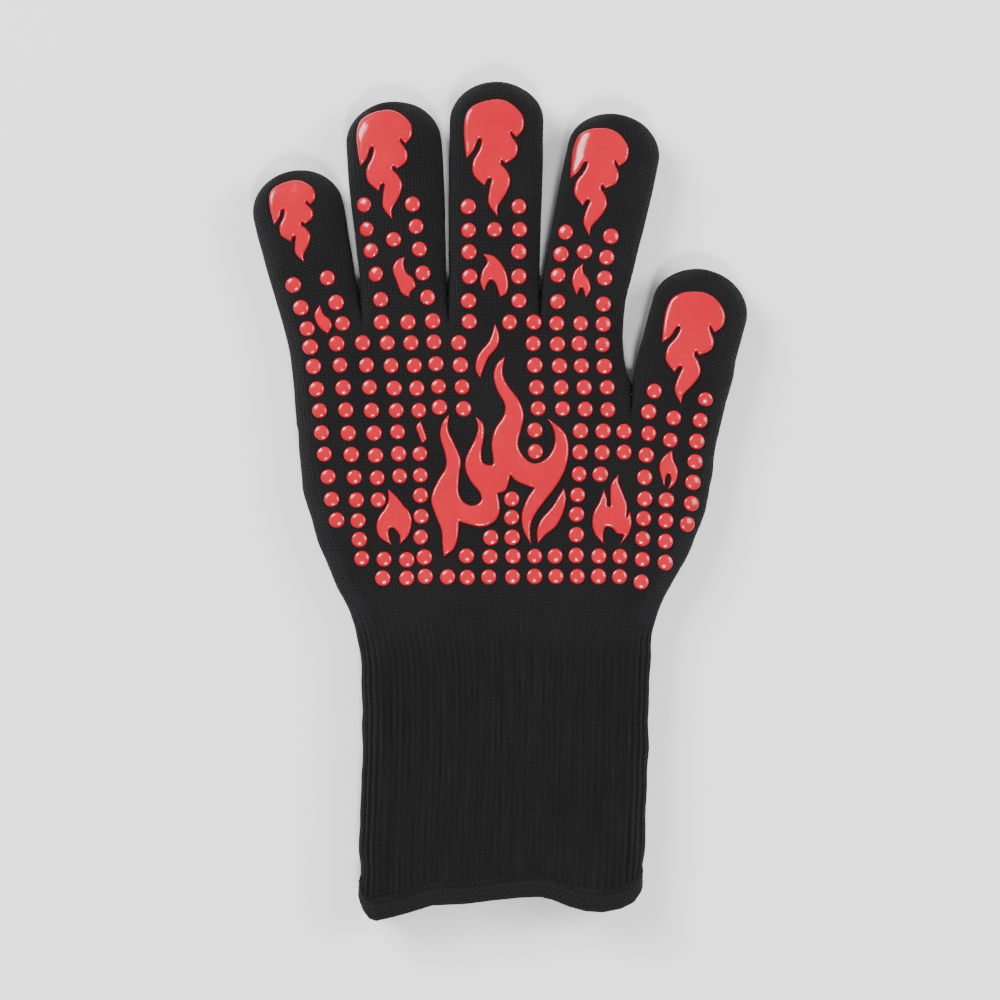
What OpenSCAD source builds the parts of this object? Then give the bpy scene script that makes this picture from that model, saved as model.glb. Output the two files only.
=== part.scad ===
// Heat resistant glove for the right hand, lying on its back with the palm up.
// A thick knitted shell with a long ribbed cuff, a cotton liner inside it, and a
// raised silicone grip print of round dots and plain flame tongues on both faces.
// Frame: X across the hand (thumb at +X), Y along it (fingertips at +Y), Z up.
// The origin is under the middle of the glove, on the surface it lies on.
// Every crease is a hinge line on the palm side, so the palm closes and the back opens.

/* [Knit] */
// Thickness of the hand and fingers over the knit, lying flat
hand_t = 18; // [17:0.5:19]
// Wall of the outer knitted shell
shell_wall = 1.8; // [1.4:0.1:2]
// Wall of the cotton liner
liner_wall = 1.6; // [1.2:0.1:1.8]
// Space between the liner and the shell
liner_gap = 0.1; // [0.1:0.05:0.2]
// Height of the sewn hem band at the cuff's mouth
hem_h = 9; // [6:0.5:14]

/* [Grip print] */
// Height of the silicone above the knit
print_h = 1; // [0.6:0.1:1.4]
// Diameter of a grip dot on the palm side
palm_dot_d = 6.1; // [5:0.1:6.2]
// Diameter of a grip dot on the back
back_dot_d = 6; // [5:0.1:6.4]
// How much thinner the back dots are than the back flames, which carry the weight
back_dot_relief = 0.2; // [0.1:0.05:0.3]

/* [Creases] */
// Gap between two pieces at a crease
crease_gap = 0.4; // [0.3:0.05:0.5]

/* [Hidden] */

knit_c = [0.07, 0.07, 0.075];
liner_c = [0.30, 0.30, 0.31];
hem_c = [0.05, 0.05, 0.055];
red_c = [0.90, 0.10, 0.12];

g = crease_gap / 2;
knit_lo = print_h;
knit_hi = print_h + hand_t;
top = hand_t + 2 * print_h;
d_shell = shell_wall;
d_liner = shell_wall + liner_gap;
d_in = shell_wall + liner_gap + liner_wall;

// ---- the fingers -------------------------------------------------------------
// crease centre x, y, lean to the thumb side in degrees, half width at the crease,
// half width further out, length, middle crease, tip crease
FINGERS = [
    [-73.4, 82.2, -12.3, 16.6, 18.3, 50.6, 17.5, 33.5],
    [-38.4, 84.6, -4, 17.1, 19.2, 75.1, 28.5, 51.5],
    [-2.5, 83.8, 1, 18.1, 18.9, 83.7, 27.7, 54.5],
    [33.5, 83.1, 12, 17.3, 18.7, 72.8, 26.8, 49.5]];
THUMB = [75.9, 61.3, 15, 19.3, 19.4, 31.7, 0, 0];

function xy(p) = [p[0], p[1]];
function half(f, v) = f[3] + (f[4] - f[3]) * min(1, max(0, v) / (0.55 * f[5]));

// A finger's plan between two stations, in its own frame, drawn in by d at the sides
function sleeve(f, va, vb, d) = let (k = 0.55 * f[5]) concat(
    [[d - half(f, va), va], [half(f, va) - d, va]],
    k > va + 1 && k < vb - 1 ? [[half(f, k) - d, k]] : [],
    [[half(f, vb) - d, vb], [d - half(f, vb), vb]],
    k > va + 1 && k < vb - 1 ? [[d - half(f, k), k]] : []);

// The same with the closed, elliptical fingertip
function tip_plan(f, va, d) = let (w = f[4], e = 0.86 * f[4]) concat(
    [[d - half(f, va), va], [half(f, va) - d, va]],
    [for (k = [0 : 12]) let (t = 15 * k) [(w - d) * cos(t), f[5] - e + (e - d) * sin(t)]]);

module slab(pts, lo, hi) translate([0, 0, lo]) linear_extrude(hi - lo) polygon(pts);
module in_finger(f) translate([f[0], f[1], 0]) rotate([0, 0, -f[2]]) children();

// A wall between the insets d0 and d1, for the stretch of finger from va to vb
module sleeve_wall(f, va, vb, d0, d1)
    in_finger(f) difference() {
        slab(sleeve(f, va, vb, d0), knit_lo + d0, knit_hi - d0);
        slab(sleeve(f, va - 2, vb + 2, d1), knit_lo + d1, knit_hi - d1);
    }
module tip_wall(f, va, d0, d1)
    in_finger(f) difference() {
        slab(tip_plan(f, va, d0), knit_lo + d0, knit_hi - d0);
        slab(tip_plan(f, va - 2, d1), knit_lo + d1, knit_hi - d1);
    }

// ---- the hand, the thumb gusset and the cuff ----------------------------------
// Outlines run anticlockwise.
HAND = [
    [-56.6, -57.8], [60.3, -57.8], [61.8, -50], [64, -43.5], [67.5, -36], [71.5, -29.2],
    [52.6, -29.2], [52.6, 45], [51, 47.5], [49.6, 55], [49.2, 64], [49.6, 73],
    [50.4, 79.3], [16.6, 86.5], [16, 83.2], [15.6, 83.3], [-20.6, 83.9], [-21, 83.2],
    [-21.4, 85.6], [-55.5, 83.2], [-56.2, 82.6], [-57.2, 85.5], [-89.5, 78.5], [-86.6, 69],
    [-84, 58], [-82.6, 45], [-81.5, 30], [-80.6, 15], [-78.5, 1], [-75.3, -10],
    [-72, -20], [-66.5, -33], [-61.5, -42.5], [-58.5, -51]];
// A point on a finger's edge, on its thumb side for 1 and on the other for -1
function root(f, side, v) = [
    f[0] + side * f[3] * cos(f[2]) + v * sin(f[2]),
    f[1] - side * f[3] * sin(f[2]) + v * cos(f[2])];
// The outline that the hand's hollow follows: it runs on past the wrist, into each
// finger and into the thumb, so that the hollow is open there
HAND_BORE = [
    [-56.6, -70], [60.3, -70], [60.3, -57.8], [61.8, -50], [64, -43.5], [67.5, -36], [71.5, -29.2],
    [52.6, -29.2], [52.6, -28.8], [62, -28.8], [62, 43], [52.6, 43], [52.6, 45], [51, 47.5], [49.6, 55], [49.2, 64], [49.6, 73],
    root(FINGERS[3], 1, 0), root(FINGERS[3], 1, 9), root(FINGERS[3], -1, 9), root(FINGERS[3], -1, 0), [16.1, 83],
    root(FINGERS[2], 1, 0), root(FINGERS[2], 1, 9), root(FINGERS[2], -1, 9), root(FINGERS[2], -1, 0), [-21, 82.6],
    root(FINGERS[1], 1, 0), root(FINGERS[1], 1, 9), root(FINGERS[1], -1, 9), root(FINGERS[1], -1, 0), [-56.2, 82],
    root(FINGERS[0], 1, 0), root(FINGERS[0], 1, 9), root(FINGERS[0], -1, 9), root(FINGERS[0], -1, 0), [-86.6, 69],
    [-84, 58], [-82.6, 45], [-81.5, 30], [-80.6, 15], [-78.5, 1], [-75.3, -10],
    [-72, -20], [-66.5, -33], [-61.5, -42.5], [-58.5, -51], [-56.6, -57.8]];
GUSSET = [
    [53, -28.8], [71.7, -28.8], [74.8, -23.5], [78, -16], [81, -8.5], [83.6, 0], [85.2, 10],
    [86.6, 20], [88.6, 31], [91.2, 41], [93.6, 49], [94.5, 56.1], [57.2, 66.1],
    [54.8, 58.5], [53.4, 51], [53, 46.5]];
// The outline that the thumb's hollow follows, open towards the palm and the thumb's tip
GUSSET_BORE = [
    [44, -28.8], [71.7, -28.8], [74.8, -23.5], [78, -16], [81, -8.5], [83.6, 0], [85.2, 10],
    [86.6, 20], [88.6, 31], [91.2, 41], [93.6, 49], root(THUMB, 1, 0), root(THUMB, 1, 9), root(THUMB, -1, 9),
    root(THUMB, -1, 0), [54.8, 58.5], [53.4, 51], [53, 46.5], [53, 43], [44, 43]];
// The cuff: down the left side, along the wavy mouth, up the right side
MOUTH = [
    [-52.5, -167], [-50, -167.5], [-42, -165.5], [-35, -163.5], [-27, -160.8], [-14, -160.3],
    [-2, -158.7], [8, -157.7], [16, -157.2], [21, -158.7], [27, -161.3], [34, -163.3],
    [41, -163.8], [48, -162.3], [53.5, -160.3]];
CUFF_L = [[-56.6, -58.2], [-55.6, -66], [-55, -80], [-55.2, -100], [-56, -122], [-56.6, -140], [-56.8, -152], [-56.6, -158], [-55, -163.5]];
CUFF_R = [[56.2, -157], [57.2, -152], [58, -137], [58.8, -118], [59.3, -98], [59.5, -78], [60.3, -64], [60.3, -58.2]];
CUFF = concat(CUFF_L, MOUTH, CUFF_R);
// The cuff's hollow runs out past the mouth and past the wrist
CUFF_BORE = concat([[-56.6, -50]], [for (k = [1 : 6]) CUFF_L[k]], [[-56.8, -190], [57.2, -190]], [for (k = [1 : 6]) CUFF_R[k]], [[60.3, -50]]);

// Draws a convex or concave outline in by d
function unit(v) = v / norm(v);
function inset(p, d) = [for (i = [0 : len(p) - 1]) let (
    n = len(p),
    e = unit(p[i] - p[(i + n - 1) % n]),
    f = unit(p[(i + 1) % n] - p[i]),
    a = [-e[1], e[0]],
    b = [-f[1], f[0]]) p[i] + d * (a + b) / (1 + a * b)];

// A wall between the insets d0 and d1 of a hollow's outline, within a piece's own plan
module wall(plan, bore, lo, hi, d0, d1) difference() {
    if (d0 == 0) slab(plan, lo, hi);
    else intersection() {
        slab(plan, lo, hi);
        slab(inset(bore, d0), lo + d0, hi - d0);
    }
    slab(inset(bore, d1), lo + d1, hi - d1);
}
module hand_wall(d0, d1) wall(HAND, HAND_BORE, knit_lo, knit_hi, d0, d1);
module gusset_wall(d0, d1) wall(GUSSET, GUSSET_BORE, knit_lo, knit_hi, d0, d1);
module cuff_wall(d0, d1) wall(CUFF, CUFF_BORE, 0, top, d0, d1);
module hem_zone() slab(concat([[-75, -185], [75, -185], [75, MOUTH[13][1] + hem_h + 3]],
    [for (k = [14 : -1 : 1]) [MOUTH[k][0], MOUTH[k][1] + hem_h]], [[-75, MOUTH[1][1] + hem_h]]), -5, top + 5);

// ---- the silicone print -------------------------------------------------------
// A closed outline through control points; a third value of 1 marks a sharp point
function flame(p, n = 3) = [for (i = [0 : len(p) - 1]) let (
    m = len(p), a = p[(i + m - 1) % m], b = p[i], c = p[(i + 1) % m], e = p[(i + 2) % m],
    s = b[2] == 1 ? [0, 0] : (xy(c) - xy(a)) / 2,
    t = c[2] == 1 ? [0, 0] : (xy(e) - xy(b)) / 2)
    each [for (k = [0 : n - 1]) let (u = k / n)
        (1 + 2 * u) * (1 - u) * (1 - u) * xy(b) + u * (1 - u) * (1 - u) * s
        + u * u * (3 - 2 * u) * xy(c) - u * u * (1 - u) * t]];

// Fingertip flame of the palm side, its crown at 0, 0
CURL = [
    [0, 0], [-6.5, -1.7], [-10.5, -5], [-11.8, -11], [-11.5, -18], [-10.8, -23.6, 1],
    [-8, -20.5], [-6.2, -16.2], [-4.8, -16.5], [-5.8, -20.5], [-8.2, -25], [-7.9, -30.5], [-3.5, -34.7, 1],
    [-2.5, -32.3], [-0.9, -32.2], [-1.8, -36.5], [-2, -42], [1.7, -47, 1],
    [1.7, -43], [5, -37.5], [6.6, -32.5], [5, -28.5], [3, -26.2], [3.2, -24.5], [4.7, -25.8, 1],
    [8.7, -23], [9.5, -19], [7.2, -15], [6.7, -13], [8.9, -15.3, 1],
    [11.7, -12], [11.6, -7], [8.3, -2.8], [4.5, -0.5]];
// Fingertip flame of the back, its crown at 0, 0
DROP = [
    [0, 0], [-5, -1.2], [-8, -5.5], [-7.8, -10.5], [-5.3, -15.5], [-3.4, -19], [-3, -24, 1],
    [0.6, -21.5], [2.7, -18.5], [3.7, -14.5], [4.9, -14.2], [6.2, -17, 1],
    [9.2, -13.5], [10.2, -8.5], [8.6, -3.8], [5, -0.8]];
// crown x, y, turn to the thumb side, scale across, scale along
CURL_AT = [[-83.5, 126.8, -8, 0.78, 0.70], [-46.5, 155, -3, 0.93, 0.93], [-2.5, 159, 0, 1, 0.99], [41.6, 147.6, 10, 0.92, 0.92], [79.3, 82.6, 11.5, 0.99, 0.96]];
DROP_AT = [[-80.6, 123.6, -11, 0.88, 0.88], [-41.4, 151.8, -3, 1, 0.97], [-0.6, 160.2, 0, 1.06, 0.93], [46, 147, 11, 1.08, 0.98], [82.6, 82, 13, 1.2, 1.08]];

// Lone tongues and flames of the palm
TONGUES = [
    [[-71.5, 77.5, 1], [-73.6, 74], [-72.6, 70], [-70, 67], [-68.3, 66, 1], [-66.7, 69], [-67.6, 71.7], [-70, 73.7]],
    [[-2, 70, 1], [-0.3, 65.5], [-1, 61], [-5, 56], [-7.8, 48.4, 1], [-9.7, 52], [-8.6, 57.5], [-4.5, 62.7], [-3, 66.5]],
    [[-31.5, 31.5, 1], [-33.3, 29], [-32.3, 26], [-31, 22.5, 1], [-29.2, 24], [-29.8, 27], [-30.6, 29]],
    [[-44.4, 4.3, 1], [-41, 1.3], [-38.3, -2.2], [-36, -4.7], [-35, -8.7], [-36.4, -14], [-39.8, -17.5, 1], [-39.7, -14.3], [-42, -11.2],
     [-44.1, -11.7], [-44, -15], [-43, -17.7, 1], [-47.5, -15], [-49, -11], [-48.2, -7], [-45.5, -3], [-44.3, 0]],
    [[25.3, 4.7, 1], [23, 1], [20.5, -3], [16.5, -7.5], [14.7, -12], [15, -17.3, 1], [18, -13.8], [22, -10.5], [25, -5], [26.2, 0.5]],
    [[47, 10, 1], [44.2, 6.5], [43.8, 1.5], [43.9, -2.3], [42.6, -2.1], [42.3, 1], [41.2, 4, 1], [39.4, -0.7], [37.2, -5], [36.6, -9.5], [38, -14],
     [41.2, -17.3, 1], [41, -13.5], [42, -10.7], [44.7, -11.3], [46.5, -13.3], [49, -14], [47.6, -17.6, 1], [51, -13.5], [52.2, -9],
     [51.5, -4.5, 1], [50.2, -7], [50.4, -2], [48.6, 3], [47, 7]]];
RING_TONGUE = [[-37.7, 96.5, 1], [-41, 95], [-42.5, 91.5], [-41, 86.8], [-39, 82], [-36, 80.5, 1], [-35.5, 82.5], [-33.3, 84.5, 1], [-34.5, 88], [-37, 90], [-38.2, 93.5]];
MIDDLE_TONGUE = [[-6.7, 97.5, 1], [-5, 94.5], [-7, 91], [-7.8, 86.5], [-6.3, 82.8, 1], [-5, 86], [-3.5, 87.3], [-1.6, 85.7], [0, 80.5, 1], [2.5, 82], [3.3, 85.5], [2.5, 90], [0.3, 94], [-3, 97]];
INDEX_TONGUE = [[33, 93.8, 1], [29.7, 91], [28.6, 86.5], [30.5, 81.2, 1], [31.6, 83.8], [33, 83.8], [34, 80.3, 1], [36, 83.5], [35, 87.5], [33, 90.5]];
THUMB_TONGUE = [[68.4, 19.7, 1], [65, 17.3], [63.2, 13], [65.2, 5.3, 1], [65.9, 9.5], [67.2, 10.3], [67.9, 8], [66.6, 4.2, 1], [69.5, 6.7], [70.6, 11.5], [68.8, 16]];
BLAZE = [
    [1.9, 56.7, 1], [-1.2, 54], [-2.5, 49], [-0.8, 43], [1.9, 38], [1.5, 33.5], [-2, 28], [-3.3, 22], [-2.6, 15], [-4.2, 13.8], [-6.8, 15], [-7.4, 19],
    [-6.3, 26], [-6.8, 30.5], [-9.6, 32.8, 1], [-8.7, 28.5], [-10.2, 23.5], [-13.2, 17.5], [-13.7, 12.5], [-11.5, 7.3], [-8, 3], [-7.6, -0.3],
    [-10.8, -2.2], [-14.3, -0.9], [-16.4, 3], [-16.2, 10], [-15.6, 16], [-18.2, 22.5], [-20.6, 28], [-20.2, 34, 1],
    [-23, 30.3], [-23.7, 25], [-21.8, 18.5], [-21.5, 13], [-25, 7], [-27.3, 0.5], [-25.5, -6], [-23.2, -12], [-22.8, -18], [-22.3, -22.4, 1],
    [-18.7, -19.7], [-16.8, -15], [-16.3, -8.5, 1], [-12, -9.8], [-7, -10.7], [-2, -8.3], [0, -3.5], [-1, 2.7, 1], [2.3, 4], [4.2, 10, 1],
    [7, 7.2], [13.6, 4.7, 1], [10.8, 0.5], [8.7, -5.5], [9.3, -12], [12.4, -17.5, 1], [12, -12], [13.2, -6.8], [17, -1.2], [22, 5.2],
    [25.7, 12], [27.3, 20], [25.5, 27], [18.9, 32.3, 1], [21.4, 27.5], [21.6, 22], [18.7, 16.7], [13.5, 14.5], [9.3, 17.3], [7.2, 22], [8.3, 28],
    [9.4, 33.5], [7.5, 39.5], [3, 45.5], [1, 50.5]];

// Flames of the back of the hand
BACK_FLAMES = [
    [[-47.6, 0, 1], [-49.2, -5], [-47.8, -12], [-43, -18], [-38.5, -22.5], [-35.4, -28.4, 1], [-34.3, -22], [-36.5, -14.5], [-41, -9], [-45, -4]],
    [[-18.2, 30, 1], [-26, 30.4], [-33.5, 28], [-39.5, 23], [-43.2, 16.5], [-43.7, 9.5], [-41, 0.5], [-36, -8], [-30.5, -16], [-26.8, -22.5], [-26.1, -33.2, 1],
     [-19.3, -33.8, 1], [-17.7, -26], [-19, -18.5], [-23, -12], [-29, -6.3], [-33, -1.3], [-33.4, 2], [-31.8, 3.2], [-28.5, -1], [-22.5, -5.7], [-14.7, -7.2],
     [-7, -5.3], [-1, -2], [3.4, 2.4, 1], [5, -4], [8.3, -12.2], [12.5, -17.4], [16.6, -18.8, 1], [11, -24.2], [7, -29.5], [7, -36.5, 1], [13.5, -37.6, 1],
     [16, -31], [22, -26.7], [27.5, -22.5], [30.8, -15.5], [30.4, -8.5], [27.7, -2.5], [26.8, 4], [31.6, 11, 1], [26.3, 11], [22.3, 8], [21.2, 1],
     [20.8, -7], [18.8, -11.8], [16, -12.2], [14.2, -9], [14.5, -3], [15.6, 3.5], [13.3, 10], [10, 15.8], [9.2, 20.5], [12.3, 26], [16.5, 32], [18.5, 40],
     [18, 46.5], [15.5, 52, 1], [13.8, 45], [10.5, 38.5], [4, 34.2], [-2, 29.5], [-4.3, 22], [-2.8, 14], [-3.4, 6.5], [-7.5, 1.9], [-13.5, 0.8], [-20, 2.3],
     [-26, 6.3], [-30, 12], [-30.2, 19], [-26, 25.3]],
    [[1.4, -9.9, 1], [4.2, -14.5], [5.5, -20.5], [3, -27.5], [-3, -31], [-9.3, -33.7, 1], [-5.8, -29], [-4.7, -24.2, 1], [-9, -27], [-13.9, -31.9, 1], [-14.2, -26],
     [-11.5, -21.3], [-5, -18.2], [-1, -15]],
    [[50.3, 4.4, 1], [55.3, 1.5], [57.9, -5], [55, -13.5], [48.5, -18.8], [45.9, -23], [47, -30], [50, -38.1, 1], [41.8, -38.3, 1], [39.8, -32.7, 1],
     [37.5, -38.2, 1], [28.2, -37.9, 1], [32.5, -29], [34.3, -20.5], [38, -13], [44.5, -9.3], [49.7, -6], [51.2, -0.7]]];
BACK_SHIFT = -5.7;

// Grip dots of the palm side
DOTS_HAND = [
    [-79, 76.3], [-65, 78.3], [-47.3, 79.5], [-28.7, 80.4], [-12.5, 79], [7.5, 79], [22.8, 78.7], [41, 77.6],
    [-76.5, 68], [-62.5, 70], [-47, 70.5], [-36.5, 70.5], [-26.7, 71], [-12.2, 70.8], [3.8, 70.5], [13.5, 70.5], [22.5, 70], [32, 70], [41, 69.7],
    [-75.3, 60.7], [-64.8, 62], [-54.5, 62.3], [-44.7, 62.3], [-35.3, 62.3], [-26.2, 62.7], [-16.4, 62.3], [13.2, 62], [22.8, 61.8], [31.4, 62], [40.7, 61.6],
    [-74, 53], [-63.5, 53.5], [-53, 53.5], [-43.2, 53.3], [-34, 53.3], [-25.4, 54], [-15.7, 53.5], [13.8, 53.4], [23.6, 53.2], [32.3, 53.2], [41.4, 53],
    [-72.8, 44], [-62.2, 44.5], [-51.8, 44.7], [-42, 44.3], [-33, 44.3], [-24.4, 45], [-15, 44.8], [14.5, 44.6], [24.2, 44.6], [33.4, 44.6], [42.5, 44.6],
    [-71.6, 35.5], [-61.2, 35.7], [-51, 35.5], [-41.2, 35.5], [-32.2, 35.5], [-24, 36.8], [-14.4, 36.2], [15.1, 36.3], [24.8, 36.2], [33.8, 36], [42.8, 35.8],
    [-70.8, 26.7], [-60.2, 26.5], [-50, 26.5], [-40.6, 27], [13.8, 27.7], [31.9, 27.4], [40.9, 27.3], [49.2, 27.2],
    [-69.7, 18.2], [-59, 18], [-49.4, 17.7], [-40.2, 18.3], [-31.8, 18.3], [14, 19.2], [31.7, 19], [40.6, 18.8], [49.2, 19],
    [-68.2, 9.2], [-57.8, 9], [-48.7, 8.8], [-39.8, 9.5], [-31.6, 9.8], [31.4, 10.3], [39.8, 10.2],
    [-66.8, 0.3], [-57, 0], [-48.3, 0], [-31.5, 1.8], [4.6, 0.4], [30.8, 2],
    [-64.8, -8], [-56.3, -8.2], [-31.3, -6.5], [4.6, -6.9], [30.4, -5.7],
    [-55.8, -15.7], [-31.5, -14.7], [-3.7, -14.9], [4.8, -14.8], [30.3, -13.8],
    [-54.8, -23.2], [-46, -23.5], [-37, -23.7], [-30, -22.7], [-13.3, -22.2], [-4, -22.5], [5.2, -22.3], [13.8, -22.3], [21.8, -22.3], [30.2, -22], [39.2, -22.3], [47.6, -22.4],
    [-46.5, -31], [-37, -31], [-29.7, -30.3], [-20.8, -30.5], [-13, -30.7], [-4.5, -30.5], [5, -30.5], [13.7, -30.3], [22.2, -30.3], [30.7, -30.3], [39.1, -30.3], [47.4, -30.4], [56, -32.5]];
DOTS_THUMB = [
    [57.4, 9], [57.4, 0.4], [57, -7.4], [56.7, -15.4], [56.5, -23.6], [58, 17.8], [59, 26.4], [59, 35], [61.2, 43.2], [68.9, 32.5],
    [81.5, 39.8], [79.4, 31.6], [67.6, 23.7], [78.1, 23.3], [77.4, 15.2], [76.6, 7], [76, -1.4], [74.4, -9.6], [66, 0], [65.8, -8.2], [65.6, -16.4], [65.6, -24.8]];
DOTS_BASE = [
    [[-82, 85.3], [-68.5, 88.1]],
    [[-49.3, 89.6], [-30.6, 90], [-51.3, 99], [-32, 99.5], [-42.2, 103.3], [-53, 107.5], [-33.3, 108.5]],
    [[-12, 88.6], [7.5, 88.7], [-12.3, 98.4], [7.5, 98.5], [-12.5, 107], [-2.2, 107.2], [7.8, 107.3]],
    [[23, 89.2], [41.5, 88], [24.2, 97.6], [33.5, 98.5], [42.3, 96.2], [26, 106.3], [44, 104.6]]];
DOTS_MID = [[], [[-54, 117.2], [-34.7, 117.3]], [[-12.6, 116.4], [7.5, 116.4]], []];

// Grip dots of the back: way points of a column, and how many dots it has
COLUMNS = [
    [[[-83, 95.5], [-73, 50], [-69.8, 14], [-62.5, -11.5], [-49.3, -29.6]], 17], [[[-73.9, 94], [-64.5, 48], [-62.3, 8.7]], 11], [[[-66.8, 101], [-56.4, 52.5], [-54.8, 20]], 11],
    [[[-48.7, 124.6], [-46, 84], [-40.6, 35.3]], 12], [[[-39.2, 122.6], [-37, 84], [-32, 40.3]], 11], [[[-30.4, 128.9], [-28, 84], [-23, 36.3]], 12],
    [[[-9.5, 133], [-10, 84], [-9.5, 38]], 12], [[[-0.5, 129], [-1.5, 84], [-0.8, 43]], 11], [[[8.5, 133], [8, 84], [8, 57]], 10],
    [[[31.5, 121], [25, 84], [24, 55], [23.6, 18.5]], 13], [[[40, 115], [34.3, 84], [33.3, 60], [33, 15]], 13], [[[50, 118], [43.7, 84], [42, 62], [42.8, 40], [42.2, 11]], 14],
    [[[49.4, 17], [49.4, 8.6]], 2],
    [[[69.3, 56], [62.6, 22], [61.5, -10], [60.4, -22]], 10], [[[58, -32.4], [56, -39.6]], 2], [[[77.3, 43.5], [71, 17.5], [70, -8], [67.5, -25.6]], 9], [[[86.6, 47.3], [79, 13], [76.3, -12.7]], 8]];

function run(p, i = 0) = i >= len(p) - 1 ? 0 : norm(p[i + 1] - p[i]) + run(p, i + 1);
function walk(p, s, i = 0) = let (l = norm(p[i + 1] - p[i]))
    s <= l || i == len(p) - 2 ? p[i] + (p[i + 1] - p[i]) * s / l : walk(p, s - l, i + 1);
function column(c) = [for (k = [0 : c[1] - 1]) walk(c[0], run(c[0]) * k / (c[1] - 1))];
BACK_DOTS = [for (c = COLUMNS) each column(c)];

// Where a point lies along a finger, and how far off its middle line
function along(f, p) = (p[0] - f[0]) * sin(f[2]) + (p[1] - f[1]) * cos(f[2]);
function across(f, p) = (p[0] - f[0]) * cos(f[2]) - (p[1] - f[1]) * sin(f[2]);
function on_finger(i, p) = along(FINGERS[i], p) > 0 && abs(across(FINGERS[i], p)) < 17.5;
function on_any(p) = on_finger(0, p) || on_finger(1, p) || on_finger(2, p) || on_finger(3, p);
function on_gusset(p) = p[0] > 52.8 && p[1] > -29 && p[0] > 50;

module dots(list, d, lo, hi) for (p = list) translate([p[0], p[1], lo]) cylinder(h = hi - lo, d = d, $fn = 36);
module palm_dots(list) dots(list, palm_dot_d, knit_hi, top);
module back_dots(list) dots(list, back_dot_d, back_dot_relief, knit_lo);

// Cuts a print to the stretch of finger from va to vb
module stretch(f, va, vb) intersection() {
    children();
    in_finger(f) translate([-30, va + g, -1]) cube([60, vb - va - 2 * g, top + 2]);
}
module motif(pts, at, lo, hi) translate([at[0], at[1], lo]) rotate([0, 0, -at[2]])
    linear_extrude(hi - lo) polygon([for (p = flame(pts)) [p[0] * at[3], p[1] * at[4]]]);
module palm_tongue(pts) slab(flame(pts), knit_hi, top);

function back_dots_between(i, va, vb) = [for (p = BACK_DOTS)
    if (on_finger(i, p) && along(FINGERS[i], p) > va && along(FINGERS[i], p) <= vb) p];

module finger_base_print(i) color(red_c) {
    f = FINGERS[i];
    palm_dots(DOTS_BASE[i]);
    back_dots(back_dots_between(i, 0, f[6]));
    if (i == 1) stretch(f, 0, f[6]) palm_tongue(RING_TONGUE);
    if (i == 2) stretch(f, 0, f[6]) palm_tongue(MIDDLE_TONGUE);
    if (i == 3) {
        stretch(f, 0, f[6]) palm_tongue(INDEX_TONGUE);
        stretch(f, 0, f[6]) motif(CURL, CURL_AT[i], knit_hi, top);
    }
}
module finger_mid_print(i) color(red_c) {
    f = FINGERS[i];
    palm_dots(DOTS_MID[i]);
    back_dots(back_dots_between(i, f[6], f[7]));
    stretch(f, f[6], f[7]) motif(CURL, CURL_AT[i], knit_hi, top);
    stretch(f, f[6], f[7]) motif(DROP, DROP_AT[i], 0, knit_lo);
}
module finger_palm_flame(i) color(red_c) stretch(FINGERS[i], FINGERS[i][7], 200) motif(CURL, CURL_AT[i], knit_hi, top);
module finger_back_flame(i) color(red_c) stretch(FINGERS[i], FINGERS[i][7], 200) motif(DROP, DROP_AT[i], 0, knit_lo);
module finger_shell(i, s) color(knit_c) {
    f = FINGERS[i];
    if (s == 0) sleeve_wall(f, g, f[6] - g, 0, d_shell);
    if (s == 1) sleeve_wall(f, f[6] + g, f[7] - g, 0, d_shell);
    if (s == 2) tip_wall(f, f[7] + g, 0, d_shell);
}
module finger_liner(i, s) color(liner_c) {
    f = FINGERS[i];
    if (s == 0) sleeve_wall(f, g, f[6] - g, d_liner, d_in);
    if (s == 1) sleeve_wall(f, f[6] + g, f[7] - g, d_liner, d_in);
    if (s == 2) tip_wall(f, f[7] + g, d_liner, d_in);
}

// ---- sub-parts ----------------------------------------------------------------
module hand_shell() color(knit_c) hand_wall(0, d_shell);
module hand_liner() color(liner_c) hand_wall(d_liner, d_in);
module palm_grip_dots() color(red_c) palm_dots(DOTS_HAND);
module palm_flame_large() color(red_c) palm_tongue(BLAZE);
module palm_flames_small() color(red_c) {
    for (t = TONGUES) palm_tongue(t);
    stretch(FINGERS[1], -30, 0) palm_tongue(RING_TONGUE);
    stretch(FINGERS[2], -30, 0) palm_tongue(MIDDLE_TONGUE);
    stretch(FINGERS[3], -30, 0) palm_tongue(INDEX_TONGUE);
}
module back_grip_dots() color(red_c) back_dots([for (p = BACK_DOTS) if (!on_any(p) && !on_gusset(p)) p]);
module back_flames() color(red_c) translate([BACK_SHIFT, 0, 0]) for (t = BACK_FLAMES) slab(flame(t), 0, knit_lo);
module cuff_shell() color(knit_c) difference() { cuff_wall(0, d_shell); hem_zone(); }
module cuff_liner() color(liner_c) difference() { cuff_wall(d_liner, d_in); hem_zone(); }
module cuff_hem() color(hem_c) intersection() { cuff_wall(0, d_in); hem_zone(); }
module thumb_base_shell() color(knit_c) gusset_wall(0, d_shell);
module thumb_base_liner() color(liner_c) gusset_wall(d_liner, d_in);
module thumb_base_print() color(red_c) {
    palm_dots(DOTS_THUMB);
    palm_tongue(THUMB_TONGUE);
    stretch(THUMB, -60, 0) motif(CURL, CURL_AT[4], knit_hi, top);
    stretch(THUMB, -60, 0) motif(DROP, DROP_AT[4], back_dot_relief, knit_lo);
    back_dots([for (p = BACK_DOTS) if (on_gusset(p)) p]);
}
module thumb_tip_shell() color(knit_c) tip_wall(THUMB, g, 0, d_shell);
module thumb_tip_liner() color(liner_c) tip_wall(THUMB, g, d_liner, d_in);
module thumb_palm_flame() color(red_c) stretch(THUMB, 0, 60) motif(CURL, CURL_AT[4], knit_hi, top);
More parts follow.
